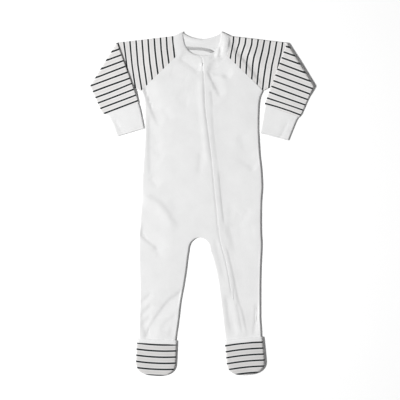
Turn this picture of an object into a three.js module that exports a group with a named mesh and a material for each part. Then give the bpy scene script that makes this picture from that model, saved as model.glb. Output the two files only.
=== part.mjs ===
// A footed baby sleepsuit laid flat on its back: raglan sleeves folded down over themselves at the
// elbow, a long zip under a flap from the neck to one ankle, and pull-over feet.
// Millimetres. X runs across the garment, Y from the feet to the neck and Z up from the surface it lies on.
import * as THREE from "three";

// Cloth
const CLOTH = 1.2; // wall of the knit
const RIB = 1.6; // wall of the doubled rib at the cuffs
const BAND = 2.0; // wall of the doubled neckband
const SEAM_GAP = 0.3; // between two pieces at a seam
const ROLL = 1.5; // radius of the cloth's turn at a side edge, to the middle of the wall
const BACK_Z = CLOTH / 2; // middle of the layer that lies on the surface
const SEAM_Z = BACK_Z + ROLL; // height of the side seams
const CROWN = 1.2; // how far the front stands above its side edges, past the roll
const CROWN_REACH = 25; // distance from an edge over which it rises
const ANKLE_Y = -262; // just above the ends of the fronts
const FOLD_FADE = { side: 14, ankle: 24 }; // folds die out towards side edges and ankles

// Neck: the seam and the free edge of the band, each a pair of half superellipses
const NECK = {
  seam: { half: 53, y: 310.6, front: { drop: 65, power: 2.3 }, back: { drop: 25, power: 1.8 } },
  rim: { half: 35.3, y: 319, front: { drop: 43.4, power: 2.5 }, back: { drop: 13.3, power: 1.6 } },
};
const BAND_Z = { seam: 4.2, rim: 4.4 }; // middle of the front band's wall, at the least
// How its right end climbs over its left end: the raise, and how far right of the zip line it stays level and
// falls. Points of the neck start clear beyond that.
const BAND_OVER = { raise: 2.45, level: 4, fall: 14, clear: 4 };
const FRONT_RAGLAN_X = 46.5; // where the front raglan seams meet the neckband
const BACK_RAGLAN_X = 33.5; // where the back raglan seams meet the neckband
const ARMPIT = { x: 112.5, y: 210.2 };
// Drops below the shoulder at which every piece round the neck has a point, before the raglan seam
const SHOULDER_TURN = [0.2, 0.8, 1.7];
const SHOULDER_DROPS = { front: [5, 11, 22], back: [5, 11] };
const NECK_STEPS = { front: 5, back: 3 }; // from the raglan seam to the middle

// Side edges of the trunk and the outer edges of the legs
const SIDES = [
  { y: 210.2, left: -112.5, right: 112.5 },
  { y: 195.3, left: -107.0, right: 106.4 },
  { y: 180.4, left: -105.5, right: 104.6 },
  { y: 150.7, left: -105.5, right: 103.6 },
  { y: 120.9, left: -105.6, right: 104.4 },
  { y: 91.1, left: -107.3, right: 106.2 },
  { y: 61.4, left: -109.4, right: 109.4 },
  { y: 31.6, left: -111.0, right: 110.8 },
  { y: 1.9, left: -112.2, right: 108.9 },
  { y: -27.9, left: -113.8, right: 108.4 },
  { y: -57.7, left: -115.7, right: 108.8 },
  { y: -72.5, left: -116.4, right: 109.8 },
  { y: -117.2, left: -115.7, right: 108.0 },
  { y: -161.8, left: -114.8, right: 107.2 },
  { y: -206.5, left: -115.4, right: 107.2 },
  { y: -236.2, left: -116.4, right: 108.8 },
  { y: -275.0, left: -117.0, right: 110.2 },
];
// Inner edges of the legs, below the arch of the crotch
const CROTCH = { x: -5, apexY: -62.9, halfWidth: 20.5, height: 24 };
const INSEAMS = [
  { y: -86.9, left: -25.5, right: 15.5 },
  { y: -96.0, left: -27.2, right: 18.9 },
  { y: -124.6, left: -30.7, right: 26.6 },
  { y: -154.4, left: -35.5, right: 32.2 },
  { y: -184.1, left: -40.9, right: 35.9 },
  { y: -213.9, left: -44.3, right: 39.4 },
  { y: -253.0, left: -49.8, right: 44.2 },
  { y: -275.0, left: -52.0, right: 46.4 },
];
const INSEAM_BAND = 8; // width of the strip of quads that follows the inseam

// Zip: the free edge of the flap that covers it, from the neck's rim to the end of the zip and the ankle
const ZIP_LINE = [
  { y: 277.0, x: -4.0 },
  { y: 266.0, x: 3.9 },
  { y: 238.1, x: 5.6 },
  { y: 210.2, x: 6.5 },
  { y: 182.3, x: 7.4 },
  { y: 154.4, x: 8.9 },
  { y: 107.9, x: 13.4 },
  { y: 70.7, x: 17.9 },
  { y: 24.2, x: 21.6 },
  { y: -3.7, x: 24.7 },
  { y: -42.8, x: 29.0 },
  { y: -67.0, x: 31.9 },
  { y: -96.7, x: 38.7 },
  { y: -115.3, x: 42.9 },
  { y: -143.2, x: 48.4 },
  { y: -169.3, x: 53.0 },
  { y: -191.6, x: 57.8 },
  { y: -221.3, x: 64.6 },
  { y: -275.0, x: 76.0 },
];
const FLAP = {
  width: 13,
  wall: 1.8, // it is doubled
  lift: 1.9, // of its middle above the middle of the main front
  seamLift: 0.95, // the same at its seam with the side front
  seamReach: 7, // how far the side front takes to fall from there
  turn: 0.72, // share of its width past which it comes down to its seam
  end: -178,
  taper: 45,
  tail: 4, // its width at its end
};
const TAPE = { start: 2.4, width: 7, wall: 1.0, sunk: 0.1, top: 242, end: -164 };
const MAIN_OVER_ZIP = 2; // how far the main front reaches under the flap
// The slider's tab, which shows beside the top of the flap. x and y are the middle of its lower end.
const SLIDER = { x: -1.3, y: 255.6, halfWidth: 1.8, length: 5.6, corner: 1.4, thickness: 1.2 };
// Spans of the pieces beside the zip, with the number of rows of quads in each
const ZIP_SPANS = [
  { from: 186, to: -120, rows: 20 },
  { from: -120, to: FLAP.end, rows: 9 },
  { from: FLAP.end, to: ANKLE_Y, rows: 5 },
];
const MAIN_TAIL = { from: TAPE.end - 2, over: 16 }; // where the main front reaches out below the tape
const SIDE_SETTLE = 40; // height over which the side front's rows come to run along the foot's mouth

// Sleeve, in its own plane before it is folded: s runs down the arm, w from the top edge to the underarm
const SLEEVE = {
  fall: THREE.MathUtils.degToRad(6.6), // how far the top edge falls below level
  foldS: 105.8, // where the fold crosses the top edge
  foldTurn: THREE.MathUtils.degToRad(51.65), // angle from the top edge to the fold
  axisZ: 4.9, // height of the line that the fold turns about
  drop: 5.6, // how far the forearm comes down once it is past the upper arm
  dropOver: 28,
};
const SLEEVE_ROWS = { upper: 7, fold: 5, fore: 8 };
// Space left at the sleeve's start, measured along the arm: in general, and what its two ends get more
const SLEEVE_START = {
  gap: 0.5,
  atTop: 0.5,
  topReach: 8,
  atUnderarm: 1.3,
  underarmFrom: 84,
  underarmReach: 9,
};
const SLEEVE_ENDS = { left: 224, right: 228.5 };
const SLEEVE_WIDTHS = [
  { s: 0, left: 92.9, right: 92.9 },
  { s: 70.6, left: 92.9, right: 92.9 },
  { s: 81, left: 87, right: 87 },
  { s: 110, left: 80.5, right: 80.5 },
  { s: 165, left: 73.2, right: 73.2 },
  { s: 212, left: 70, right: 70 },
  { s: 219, left: 68.5, right: 69.6 },
  { s: 224, left: 64.5, right: 68.8 },
  { s: 228.5, left: 64.5, right: 67.2 },
  { s: 280, left: 64.5, right: 67.2 },
];
const SLEEVE_CROWNS = [
  { s: 0, rise: CROWN },
  { s: 50, rise: CROWN },
  { s: 85, rise: 0.35 },
  { s: 280, rise: 0.35 },
];
const FOREARM_CROWN = 0.9;
const CUFF = { gap: 0.4, roll: 1.3, crown: 0.6 };
// Where the middle of a cuff's end lies, and how much further its top edge runs than its under edge
const CUFF_ENDS = { left: { s: 270.8, slant: 3.2 }, right: { s: 278.4, slant: 5.3 } };
const CUFF_EDGES = {
  left: [
    { past: 0, top: 1.6, under: 61 },
    { past: 8, top: 1.8, under: 59.5 },
    { past: 26, top: 4.2, under: 58.2 },
    { past: 48, top: 7.6, under: 57.9 },
  ],
  right: [
    { past: 0, top: 1.6, under: 65.6 },
    { past: 8, top: 3, under: 64.2 },
    { past: 26, top: 6.6, under: 63.4 },
    { past: 52, top: 10.8, under: 62.7 },
  ],
};

// Feet: a pocket over the end of each leg, in a frame at the middle of its mouth
const FEET = {
  left: { x: -83.9, y: -252.6, turn: -2.7, width: 72.6, length: 66.8 },
  right: { x: 77.4, y: -250.4, turn: 5.7, width: 70.8, length: 67.5 },
};
const FOOT = {
  roll: 2.5,
  crown: 0.9,
  crownReach: 12,
  toe: 27, // length of the rounded end
  toePower: 2.6,
  binding: 7.4, // width of the strip along the mouth
  overlap: 12, // how far the front of the leg runs on inside
  spine: 0.42, // the middle line of the foot stops this share of its width before the toe
};

// The largest folds: soft troughs (depth below zero) and ridges of the front
const FOLDS = [
  { name: "armpit", x1: -106, y1: 208, x2: -78, y2: 140, bow: -4, reach: 9, depth: -1.4 },
  { name: "beside_zip", x1: -5, y1: 205, x2: -3, y2: 110, bow: 0, reach: 9, depth: 1.0 },
  { name: "collar_main", x1: -42, y1: 266, x2: -8, y2: 246, bow: -3, reach: 7, depth: -0.8 },
  { name: "collar_side", x1: 12, y1: 250, x2: 52, y2: 228, bow: -4, reach: 8, depth: -1.1 },
  { name: "chest_side", x1: 20, y1: 238, x2: 33, y2: 200, bow: 2, reach: 8, depth: -1.2 },
  { name: "hip_long", x1: -108, y1: 16, x2: -38, y2: -52, bow: -5, reach: 10, depth: -1.3 },
  { name: "hip_ridge", x1: -100, y1: -2, x2: -48, y2: -58, bow: -5, reach: 11, depth: 0.9 },
  { name: "hip_short", x1: -113, y1: -60, x2: -86, y2: -84, bow: -3, reach: 7, depth: -1.1 },
  { name: "knee", x1: -46, y1: -168, x2: -106, y2: -246, bow: 6, reach: 9, depth: -1.3 },
  { name: "shin", x1: -48, y1: -208, x2: -88, y2: -240, bow: 4, reach: 8, depth: -0.7 },
  { name: "thigh_hollow", x1: 50, y1: -58, x2: 62, y2: -120, bow: -3, reach: 13, depth: -1.3 },
  { name: "beside_flap", x1: 58, y1: -100, x2: 86, y2: -236, bow: -2, reach: 9, depth: -1.1 },
  { name: "waist_side", x1: 40, y1: 92, x2: 90, y2: 64, bow: 4, reach: 11, depth: -0.9 },
  { name: "inner_calf", x1: 44, y1: -176, x2: 56, y2: -244, bow: -2, reach: 6, depth: -0.7 },
];

// Small helpers

const mix = (a, b, t) => a + (b - a) * t;
const clamp01 = (t) => Math.min(1, Math.max(0, t));
const smooth = (t) => clamp01(t) ** 2 * (3 - 2 * clamp01(t));
const steps = (n) => Array.from({ length: n + 1 }, (_, i) => i / n);
const spread = (from, to, n) => steps(n).map((t) => mix(from, to, t));

// A column of a table at a value of its key, on a smooth curve through its rows.
function read(table, key, at, column) {
  const up = table[0][key] < table[table.length - 1][key];
  let i = 0;
  while (i < table.length - 2 && (up ? at > table[i + 1][key] : at < table[i + 1][key])) i++;
  const [a, b] = [table[i], table[i + 1]];
  const span = b[key] - a[key];
  const slope = (p, q) => (q[column] - p[column]) / (q[key] - p[key]);
  const here = slope(a, b);
  const joint = (other) => (other * here <= 0 ? 0 : (2 * other * here) / (other + here));
  const before = i > 0 ? joint(slope(table[i - 1], a)) : here;
  const after = i < table.length - 2 ? joint(slope(b, table[i + 2])) : here;
  const t = clamp01((at - a[key]) / span);
  return (
    a[column] * (2 * t ** 3 - 3 * t ** 2 + 1) +
    before * span * (t ** 3 - 2 * t ** 2 + t) +
    b[column] * (3 * t ** 2 - 2 * t ** 3) +
    after * span * (t ** 3 - t ** 2)
  );
}

// Distance in plan from a point to a polyline.
function distanceTo(line, x, y) {
  let least = Infinity;
  for (let i = 1; i < line.length; i++) {
    const [ax, ay] = line[i - 1];
    const [dx, dy] = [line[i][0] - ax, line[i][1] - ay];
    const t = clamp01(((x - ax) * dx + (y - ay) * dy) / (dx * dx + dy * dy || 1));
    least = Math.min(least, Math.hypot(x - ax - t * dx, y - ay - t * dy));
  }
  return least;
}

// The height of a rolled edge, from 0 at the edge to 1 once the cloth lies level.
const rolled = (distance, radius) => (distance >= radius ? 1 : Math.sqrt(1 - (1 - distance / radius) ** 2));
// Distances from an edge at which a roll gets its columns of points.
const ROLL_SHARES = [0, 0.134, 0.5, 1]; // at 0, 30, 60 and 90 degrees of the turn
const rollColumns = (radius) => ROLL_SHARES.map((share) => share * radius);

// A sheet of cloth: a mesh of quads down the middle of the wall, which solid() gives its thickness.
class Sheet {
  constructor() {
    this.points = [];
    this.faces = [];
    this.found = new Map();
  }

  point([x, y, z]) {
    const key = [x, y, z].map((n) => Math.round(n * 500)).join();
    if (!this.found.has(key)) {
      this.found.set(key, this.points.length);
      this.points.push(new THREE.Vector3(x, y, z));
    }
    return this.found.get(key);
  }

  // A grid of rows of points. Its faces look up where columns run to +X and rows to +Y.
  grid(rows, turned = false) {
    const ids = rows.map((row) => row.map((p) => this.point(p)));
    for (let r = 1; r < ids.length; r++)
      for (let c = 1; c < ids[r].length; c++) {
        const quad = [ids[r - 1][c - 1], ids[r - 1][c], ids[r][c], ids[r][c - 1]];
        const corners = quad.filter((id, i) => id !== quad[(i + 3) % 4]);
        if (turned) corners.reverse();
        if (corners.length > 2) this.faces.push(corners);
      }
    return this;
  }

  normals() {
    const normals = this.points.map(() => new THREE.Vector3());
    for (const face of this.faces) {
      const [a, b, c, d] = face.map((id) => this.points[id]);
      const across = new THREE.Vector3().subVectors(c, a);
      const other = d ? new THREE.Vector3().subVectors(d, b) : new THREE.Vector3().subVectors(c, b);
      if (!d) across.subVectors(b, a);
      const normal = across.cross(other);
      for (const id of face) normals[id].add(normal);
    }
    return normals.map((n) => n.normalize());
  }

  // A quad is cut along its more level diagonal, so that the cuts run along a fold and not across it.
  triangles([a, b, c, d]) {
    if (d === undefined) return [[a, b, c]];
    const climb = (p, q) => Math.abs(this.points[p].z - this.points[q].z);
    return climb(a, c) <= climb(b, d) ? [[a, b, c], [a, c, d]] : [[b, c, d], [b, d, a]];
  }

  // Gives the sheet its wall. Points at the height of a side seam are offset level, so that the edge stands
  // square.
  solid(wall, seamZ) {
    const normals = this.normals();
    normals.forEach((normal, i) => {
      if (Math.abs(this.points[i].z - seamZ) < SEAM_GAP) normal.setZ(0).normalize();
    });
    const count = this.points.length;
    const position = [];
    for (const side of [1, -1])
      this.points.forEach((p, i) => {
        position.push(...p.clone().addScaledVector(normals[i], (side * wall) / 2));
      });
    const index = [];
    const edges = new Map();
    for (const face of this.faces) {
      for (const [a, b, c] of this.triangles(face)) index.push(a, b, c, a + count, c + count, b + count);
      face.forEach((a, i) => {
        const b = face[(i + 1) % face.length];
        edges.set(`${a}_${b}`, [a, b]);
      });
    }
    for (const [a, b] of edges.values())
      if (!edges.has(`${b}_${a}`)) index.push(b, a, a + count, b, a + count, b + count);
    const geometry = new THREE.BufferGeometry();
    geometry.setAttribute("position", new THREE.Float32BufferAttribute(position, 3));
    geometry.setIndex(index);
    geometry.computeVertexNormals();
    return geometry;
  }
}

// Neck

// A point of the neck at an angle: -90 degrees is the middle front, 90 the middle back, and 0 and 180 are the
// shoulders.
function neckPoint(edge, angle) {
  const half = Math.sin(angle) < 0 ? edge.front : edge.back;
  const c = Math.cos(angle);
  const x = edge.half * Math.sign(c) * Math.abs(c) ** (2 / half.power);
  const drop = half.drop * Math.abs(Math.sin(angle)) ** (2 / half.power);
  return { x, y: edge.y - drop, drop };
}

const angleOfDrop = (face, drop) => Math.asin((drop / NECK.seam[face].drop) ** (NECK.seam[face].power / 2));
const raglanX = { front: FRONT_RAGLAN_X, back: BACK_RAGLAN_X };
const raglanAngle = (face) => angleOfDrop(face, NECK.seam.y - neckSeamY(raglanX[face], face));
// The neck angles, less than a right one, from the raglan seam to the middle of the front or the back.
const neckAngles = (face) => steps(NECK_STEPS[face]).map((t) => mix(raglanAngle(face), Math.PI / 2, t));

// The height in plan of the neck seam at x, on the front or the back.
function neckSeamY(x, side) {
  const { drop, power } = NECK.seam[side];
  return NECK.seam.y - drop * (1 - Math.min(1, Math.abs(x / NECK.seam.half)) ** power) ** (1 / power);
}

// Outline

const outerEdge = (side) => SIDES.flatMap((row, i) =>
  i === 0 ? [[row[side], row.y]] : steps(3).slice(1).map((t) => {
    const y = mix(SIDES[i - 1].y, row.y, t);
    return [read(SIDES, "y", y, side), y];
  }));

// The inner edge of a leg from the top of the crotch down.
function innerEdge(side) {
  const sign = side === "left" ? -1 : 1;
  const arch = steps(12).map((t) => {
    const angle = (t * Math.PI) / 2;
    return [
      CROTCH.x + sign * CROTCH.halfWidth * Math.sin(angle),
      CROTCH.apexY - CROTCH.height * (1 - Math.cos(angle)),
    ];
  });
  const last = INSEAMS[INSEAMS.length - 1].y;
  const down = steps(24).slice(1).map((t) => {
    const y = mix(INSEAMS[0].y, last, t);
    return [read(INSEAMS, "y", y, side), y];
  });
  return [...arch, ...down];
}

const OUTER = { left: outerEdge("left"), right: outerEdge("right") };
const INNER = { left: innerEdge("left"), right: innerEdge("right") };
const shoulderEdge = (sign) => [0, 1].map((t) => [
  sign * (NECK.seam.half + 100 * t * Math.cos(SLEEVE.fall)),
  NECK.seam.y - 100 * t * Math.sin(SLEEVE.fall),
]);
const EDGES = [OUTER.left, OUTER.right, INNER.left, INNER.right, shoulderEdge(-1), shoulderEdge(1)];
const edgeDistance = (x, y) => Math.min(...EDGES.map((line) => distanceTo(line, x, y)));

// The point a share of the way down an inner edge, set in from it by a distance.
function besideInner(side, share, inset, endY) {
  const line = INNER[side].filter(([, y]) => y >= endY);
  line.push([read(INSEAMS, "y", endY, side), endY]);
  const lengths = [0];
  for (let i = 1; i < line.length; i++)
    lengths.push(lengths[i - 1] + Math.hypot(line[i][0] - line[i - 1][0], line[i][1] - line[i - 1][1]));
  const at = share * lengths[lengths.length - 1];
  let i = 1;
  while (i < line.length - 1 && lengths[i] < at) i++;
  const t = (at - lengths[i - 1]) / (lengths[i] - lengths[i - 1]);
  const [ax, ay] = line[i - 1];
  const [bx, by] = line[i];
  const sign = side === "left" ? 1 : -1;
  const tangent = (j) => {
    const [p, q] = [line[Math.max(0, j - 1)], line[Math.min(line.length - 1, j + 1)]];
    return j === 0 ? [-sign, 0] : [q[0] - p[0], q[1] - p[1]];
  };
  const [t0, t1] = [tangent(i - 1), tangent(i)].map(([x, y]) => [x / Math.hypot(x, y), y / Math.hypot(x, y)]);
  const [tx, ty] = [mix(t0[0], t1[0], t), mix(t0[1], t1[1], t)];
  const size = Math.hypot(tx, ty);
  return [mix(ax, bx, t) + (sign * inset * ty) / size, mix(ay, by, t) - (sign * inset * tx) / size];
}

const zipX = (y) => read(ZIP_LINE, "y", y, "x");
const zipLevels = ZIP_SPANS.flatMap(({ from, to, rows }) => spread(from, to, rows).slice(0, -1));
const neckFrontY = NECK.seam.y - NECK.seam.front.drop;
// The line on which the pieces of a leg end above its foot, or inside it.
function mouthY(side, x, past) {
  const foot = FEET[side];
  return foot.y + Math.tan(THREE.MathUtils.degToRad(foot.turn)) * (x - foot.x) - past;
}

// Heights of the two layers

function foldRelief(x, y) {
  let height = 0;
  for (const fold of FOLDS) {
    const [dx, dy] = [fold.x2 - fold.x1, fold.y2 - fold.y1];
    const long = Math.hypot(dx, dy);
    const t = ((x - fold.x1) * dx + (y - fold.y1) * dy) / long ** 2;
    if (t < 0 || t > 1) continue;
    const across = ((x - fold.x1) * dy - (y - fold.y1) * dx) / long - fold.bow * 4 * t * (1 - t);
    height += fold.depth * Math.exp(-((across / fold.reach) ** 2)) * Math.sin(Math.PI * t) ** 0.7;
  }
  return height;
}

const crown = (distance, rise) => rise * (1 - Math.exp(-distance / CROWN_REACH));

function frontZ(x, y) {
  const d = edgeDistance(x, y);
  const fade = smooth(d / FOLD_FADE.side) * smooth((y - ANKLE_Y) / FOLD_FADE.ankle);
  const rise = crown(d, CROWN) + foldRelief(x, y) * fade;
  return SEAM_Z + SEAM_GAP / 2 + (ROLL - SEAM_GAP / 2) * rolled(d, ROLL) + rise;
}

function backZ(x, y) {
  return SEAM_Z - SEAM_GAP / 2 - (ROLL - SEAM_GAP / 2) * rolled(edgeDistance(x, y), ROLL);
}

// The side front rises to the flap's seam.
function sideFrontZ(x, y) {
  const past = x - flapRight(y);
  return frontZ(x, y) + FLAP.seamLift * seamLiftShare(y) * Math.exp(-((past / FLAP.seamReach) ** 2));
}

// Body panels

const YOKE_Y = ZIP_SPANS[0].from; // the level below which the rows run straight across
const YOKE_ROWS = 5;
const TRUNK_ROWS = 16;
const LEG_ROWS = 15;
const legShares = steps(LEG_ROWS).map((t) => t * (0.3 + 0.7 * t)); // closer together at the crotch
const RAGLAN_COLUMNS = 3;
const FRONT_COLUMNS = { outer: 7, inner: 2, side: 6 }; // each side of the fork, and of the side front
const BACK_COLUMNS = 6; // each side of the fork
// Where the line up from the fork runs in the main front, and how soon it gets there
const FORK = { share: 0.75, blend: 60 };
const forkY = CROTCH.apexY + INSEAM_BAND;

// Shares of the way from a to b, evenly spaced, with the columns of a rolled edge first where there is one.
function across(a, b, columns, edge) {
  const start = edge ? rollColumns(ROLL).map((d) => d / Math.abs(b - a)) : [0];
  const first = start[start.length - 1];
  const rest = steps(columns).slice(1).map((t) => mix(first, 1, t));
  return [...start, ...rest];
}

const lift = (height, points) => points.map(([x, y]) => [x, y, height(x, y)]);
const between = (p, q, shares) => shares.map((t) => [mix(p[0], q[0], t), mix(p[1], q[1], t)]);
const joined = (left, right) => [...left, ...right.slice(1)];

// The strip that follows the inside of one leg from the crotch to the ankle.
function inseamStrip(sheet, side, height, endY) {
  const insets = [...rollColumns(ROLL), INSEAM_BAND];
  const rows = legShares.map((t) => lift(height, insets.map((d) => besideInner(side, t, d, endY))));
  sheet.grid(rows, side === "right");
}

// The rest of a leg, from its outer edge, or a line inside it, to that strip.
function legRows(side, outerAt, startY, endOuterY, endInnerY, columns, edge, height) {
  return legShares.map((t) => {
    const y = mix(startY, endOuterY, t);
    const outer = [outerAt(y), y];
    const inner = besideInner(side, t, INSEAM_BAND, endInnerY);
    const shares = across(outer[0], inner[0], columns, edge);
    return lift(height, between(outer, inner, shares));
  });
}

function endsOf(side, past) {
  const outer = mouthY(side, SIDES[SIDES.length - 2][side], past);
  const inner = mouthY(side, INSEAMS[INSEAMS.length - 2][side], past);
  return { outer, inner };
}

// Points up one side of the yoke: along the raglan seam, then along the neck seam as far as x.
function yokeTop(sign, face, stopX) {
  const armpit = [sign * ARMPIT.x, ARMPIT.y];
  const corner = [sign * raglanX[face], neckSeamY(raglanX[face], face)];
  const long = Math.hypot(corner[0] - armpit[0], corner[1] - armpit[1]);
  const neck = neckAngles(face).slice(1)
    .map((angle) => sign * neckPoint(NECK.seam, face === "front" ? -angle : angle).x)
    .filter((x) => sign * (x - stopX) > 1);
  return [
    ...between(armpit, corner, across(0, long, RAGLAN_COLUMNS, true)),
    ...[...neck, stopX].map((x) => [x, neckSeamY(x, face)]),
  ];
}

// The rows of the yoke, from a row across the trunk to the raglan and neck seams. Each named side follows its
// edge.
function yokeRows(low, high, height, sides) {
  return steps(YOKE_ROWS).map((t) => {
    let row = low.map((p, i) => [mix(p[0], high[i][0], t), mix(p[1], high[i][1], t)]);
    for (const side of sides) {
      const last = row.length - 1;
      const end = side === "left" ? 0 : last;
      const shift = read(SIDES, "y", row[end][1], side) - row[end][0];
      row = row.map(([x, y], i) => [x + shift * (1 - Math.abs(i - end) / last) ** 2, y]);
    }
    return lift(height, row);
  });
}

function frontMain() {
  const sheet = new Sheet();
  const { outer, inner } = endsOf("left", FOOT.overlap);
  const right = endsOf("right", FOOT.overlap);
  const mainEdge = (y) => {
    const tail = smooth((MAIN_TAIL.from - y) / MAIN_TAIL.over);
    return zipX(y) + mix(MAIN_OVER_ZIP, FLAP.tail, tail);
  };
  const rowAt = (y) => {
    const [a, c] = [read(SIDES, "y", y, "left"), mainEdge(y)];
    const fork = mix(CROTCH.x, mix(a, c, FORK.share), smooth((y - forkY) / FORK.blend));
    return joined(
      between([a, y], [fork, y], across(a, fork, FRONT_COLUMNS.outer, true)),
      between([fork, y], [c, y], across(fork, c, FRONT_COLUMNS.inner, false)),
    );
  };
  const trunk = steps(TRUNK_ROWS).map((t) => lift(frontZ, rowAt(mix(forkY, YOKE_Y, t))));
  sheet.grid(trunk);
  sheet.grid(yokeRows(rowAt(YOKE_Y), yokeTop(-1, "front", mainEdge(neckFrontY)), frontZ, ["left"]));
  inseamStrip(sheet, "left", frontZ, inner);
  const leftEdge = (y) => read(SIDES, "y", y, "left");
  sheet.grid(legRows("left", leftEdge, forkY, outer, inner, FRONT_COLUMNS.outer, true, frontZ), true);
  inseamStrip(sheet, "right", frontZ, right.inner);
  const end = mouthY("right", mainEdge(ANKLE_Y), FOOT.overlap);
  sheet.grid(legRows("right", mainEdge, forkY, end, right.inner, FRONT_COLUMNS.inner, false, frontZ));
  return sheet.solid(CLOTH, SEAM_Z);
}

const seamLiftShare = (y) => smooth((y - FLAP.end) / FLAP.taper);
const flapRight = (y) => zipX(y) + mix(FLAP.tail, FLAP.width, seamLiftShare(y));

function frontSide() {
  const sheet = new Sheet();
  const end = endsOf("right", FOOT.overlap).outer;
  const leftEdge = (y) => flapRight(y) + SEAM_GAP;
  const rowAt = (y) => {
    const [a, b] = [leftEdge(y), read(SIDES, "y", y, "right")];
    const shares = across(b, a, FRONT_COLUMNS.side, true).map((t) => 1 - t).reverse();
    const settle = smooth((end + SIDE_SETTLE - y) / SIDE_SETTLE);
    return shares.map((t) => {
      const lower = y + settle * (mouthY("right", mix(a, b, t), FOOT.overlap) - end);
      return [mix(leftEdge(lower), read(SIDES, "y", lower, "right"), t), lower];
    });
  };
  const rows = [...zipLevels, end].reverse().map((y) => lift(sideFrontZ, rowAt(y)));
  const top = yokeTop(1, "front", leftEdge(neckFrontY)).reverse();
  sheet.grid([...rows, ...yokeRows(rowAt(YOKE_Y), top, sideFrontZ, ["right"]).slice(1)]);
  return sheet.solid(CLOTH, SEAM_Z);
}

function backPanel() {
  const sheet = new Sheet();
  const ends = { left: endsOf("left", -SEAM_GAP), right: endsOf("right", -SEAM_GAP) };
  const rowAt = (y) => {
    const [a, c] = [read(SIDES, "y", y, "left"), read(SIDES, "y", y, "right")];
    const fork = mix(CROTCH.x, 0, smooth((y - forkY) / FORK.blend));
    const right = across(c, fork, BACK_COLUMNS, true).map((t) => 1 - t).reverse();
    return joined(
      between([a, y], [fork, y], across(a, fork, BACK_COLUMNS, true)),
      between([fork, y], [c, y], right),
    );
  };
  sheet.grid(steps(TRUNK_ROWS).map((t) => lift(backZ, rowAt(mix(forkY, YOKE_Y, t)))));
  const top = joined(yokeTop(-1, "back", 0), yokeTop(1, "back", 0).reverse());
  sheet.grid(yokeRows(rowAt(YOKE_Y), top, backZ, ["left", "right"]));
  for (const side of ["left", "right"]) {
    const { outer, inner } = ends[side];
    inseamStrip(sheet, side, backZ, inner);
    const outerAt = (y) => read(SIDES, "y", y, side);
    sheet.grid(legRows(side, outerAt, forkY, outer, inner, BACK_COLUMNS, true, backZ), side === "left");
  }
  return sheet.solid(CLOTH, SEAM_Z);
}

// Zip: its tape, and the flap over it

// A strip along the zip from its top down to a level, with a row of points at each of the fronts' levels.
function zipStrip(topAt, end, offsets, height, wall) {
  const top = topAt(0);
  const levels = [...spread(top, YOKE_Y, 5).slice(0, -1), ...zipLevels.filter((y) => y > end + 1), end];
  const rows = levels.reverse().map((y) => offsets(y).map((x) => {
    const bentY = y + smooth((y - YOKE_Y) / (top - YOKE_Y)) ** 4 * (topAt(x) - top);
    return [x, bentY, height(x, bentY)];
  }));
  return new Sheet().grid(rows).solid(wall);
}

function zipFlap() {
  const offsets = (y) => {
    const [a, b] = [zipX(y), flapRight(y)];
    return [a, mix(a, b, 0.35), mix(a, b, 0.7), b];
  };
  const height = (x, y) => {
    const share = clamp01((x - zipX(y)) / FLAP.width);
    const drop = smooth((share - FLAP.turn) / (1 - FLAP.turn)) * (FLAP.lift - FLAP.seamLift);
    return frontZ(x, y) + FLAP.lift - drop;
  };
  return zipStrip((x) => neckSeamY(x, "front"), FLAP.end, offsets, height, FLAP.wall);
}

function zipTape() {
  const offsets = (y) => {
    const start = zipX(y) + TAPE.start;
    return [start, Math.min(start + TAPE.width, flapRight(y) - SEAM_GAP)];
  };
  return zipStrip(() => TAPE.top, TAPE.end, offsets, (x, y) => frontZ(x, y) - TAPE.sunk, TAPE.wall);
}

// Neckband: one strip from the zip round the back of the neck to the flap, turned over at the shoulders. Its
// right end lies over its left one, in line with the flap.
function neckband() {
  const face = (name) => [
    ...[...SHOULDER_TURN, ...SHOULDER_DROPS[name]].map((drop) => angleOfDrop(name, drop)),
    ...neckAngles(name),
  ];
  const front = face("front").map((a) => -a);
  const quarterFromBack = [...face("back").reverse(), 0];
  const rightX = BAND_OVER.level + BAND_OVER.fall + BAND_OVER.clear;
  const rightFront = front.filter((a) => neckPoint(NECK.seam, a).x > rightX);
  const right = [...quarterFromBack, ...rightFront].reverse();
  const left = [...quarterFromBack, ...front].map((a) => Math.PI - a);
  const flapSide = [0, 8, FLAP.width + SEAM_GAP];
  const shares = [SEAM_GAP / (NECK.seam.front.drop - NECK.rim.front.drop), 0.5, 1];

  const plan = (angle, v) => {
    const [seam, rim] = [neckPoint(NECK.seam, angle), neckPoint(NECK.rim, angle)];
    return { x: mix(seam.x, rim.x, v), y: mix(seam.y, rim.y, v), drop: mix(seam.drop, rim.drop, v) };
  };
  // A point of an end of the band, a distance to the right of the zip line.
  const atZip = (past, v) => {
    const level = plan(-Math.PI / 2, v);
    const x = zipX(level.y) + past;
    return { x, y: level.y + (neckSeamY(x, "front") - neckFrontY) * (1 - v), drop: level.drop };
  };
  const height = ({ x, y, drop }, v, isFront, over) => {
    const level = Math.max(mix(BAND_Z.seam, BAND_Z.rim, v), frontZ(x, y));
    const middle = (BAND / 2 + BAND_Z.rim) / 2;
    const raise = over * BAND_OVER.raise * (1 - smooth((x - zipX(y) - BAND_OVER.level) / BAND_OVER.fall));
    return mix(middle, isFront ? level : BAND / 2, rolled(drop, ROLL + 0.2)) + raise;
  };
  const rows = shares.map((v) => [
    ...flapSide.map((past) => [atZip(past, v), true, 1]),
    ...right.map((a) => [plan(a, v), a < 0, a < 0 ? 1 : 0]),
    ...left.slice(1).map((a) => [plan(a, v), a > Math.PI, 0]),
    [atZip(MAIN_OVER_ZIP, v), true, 0],
  ].map(([at, isFront, over]) => [at.x, at.y, height(at, v, isFront, over)]));
  return new Sheet().grid(rows, true).solid(BAND);
}

// Sleeves

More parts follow.
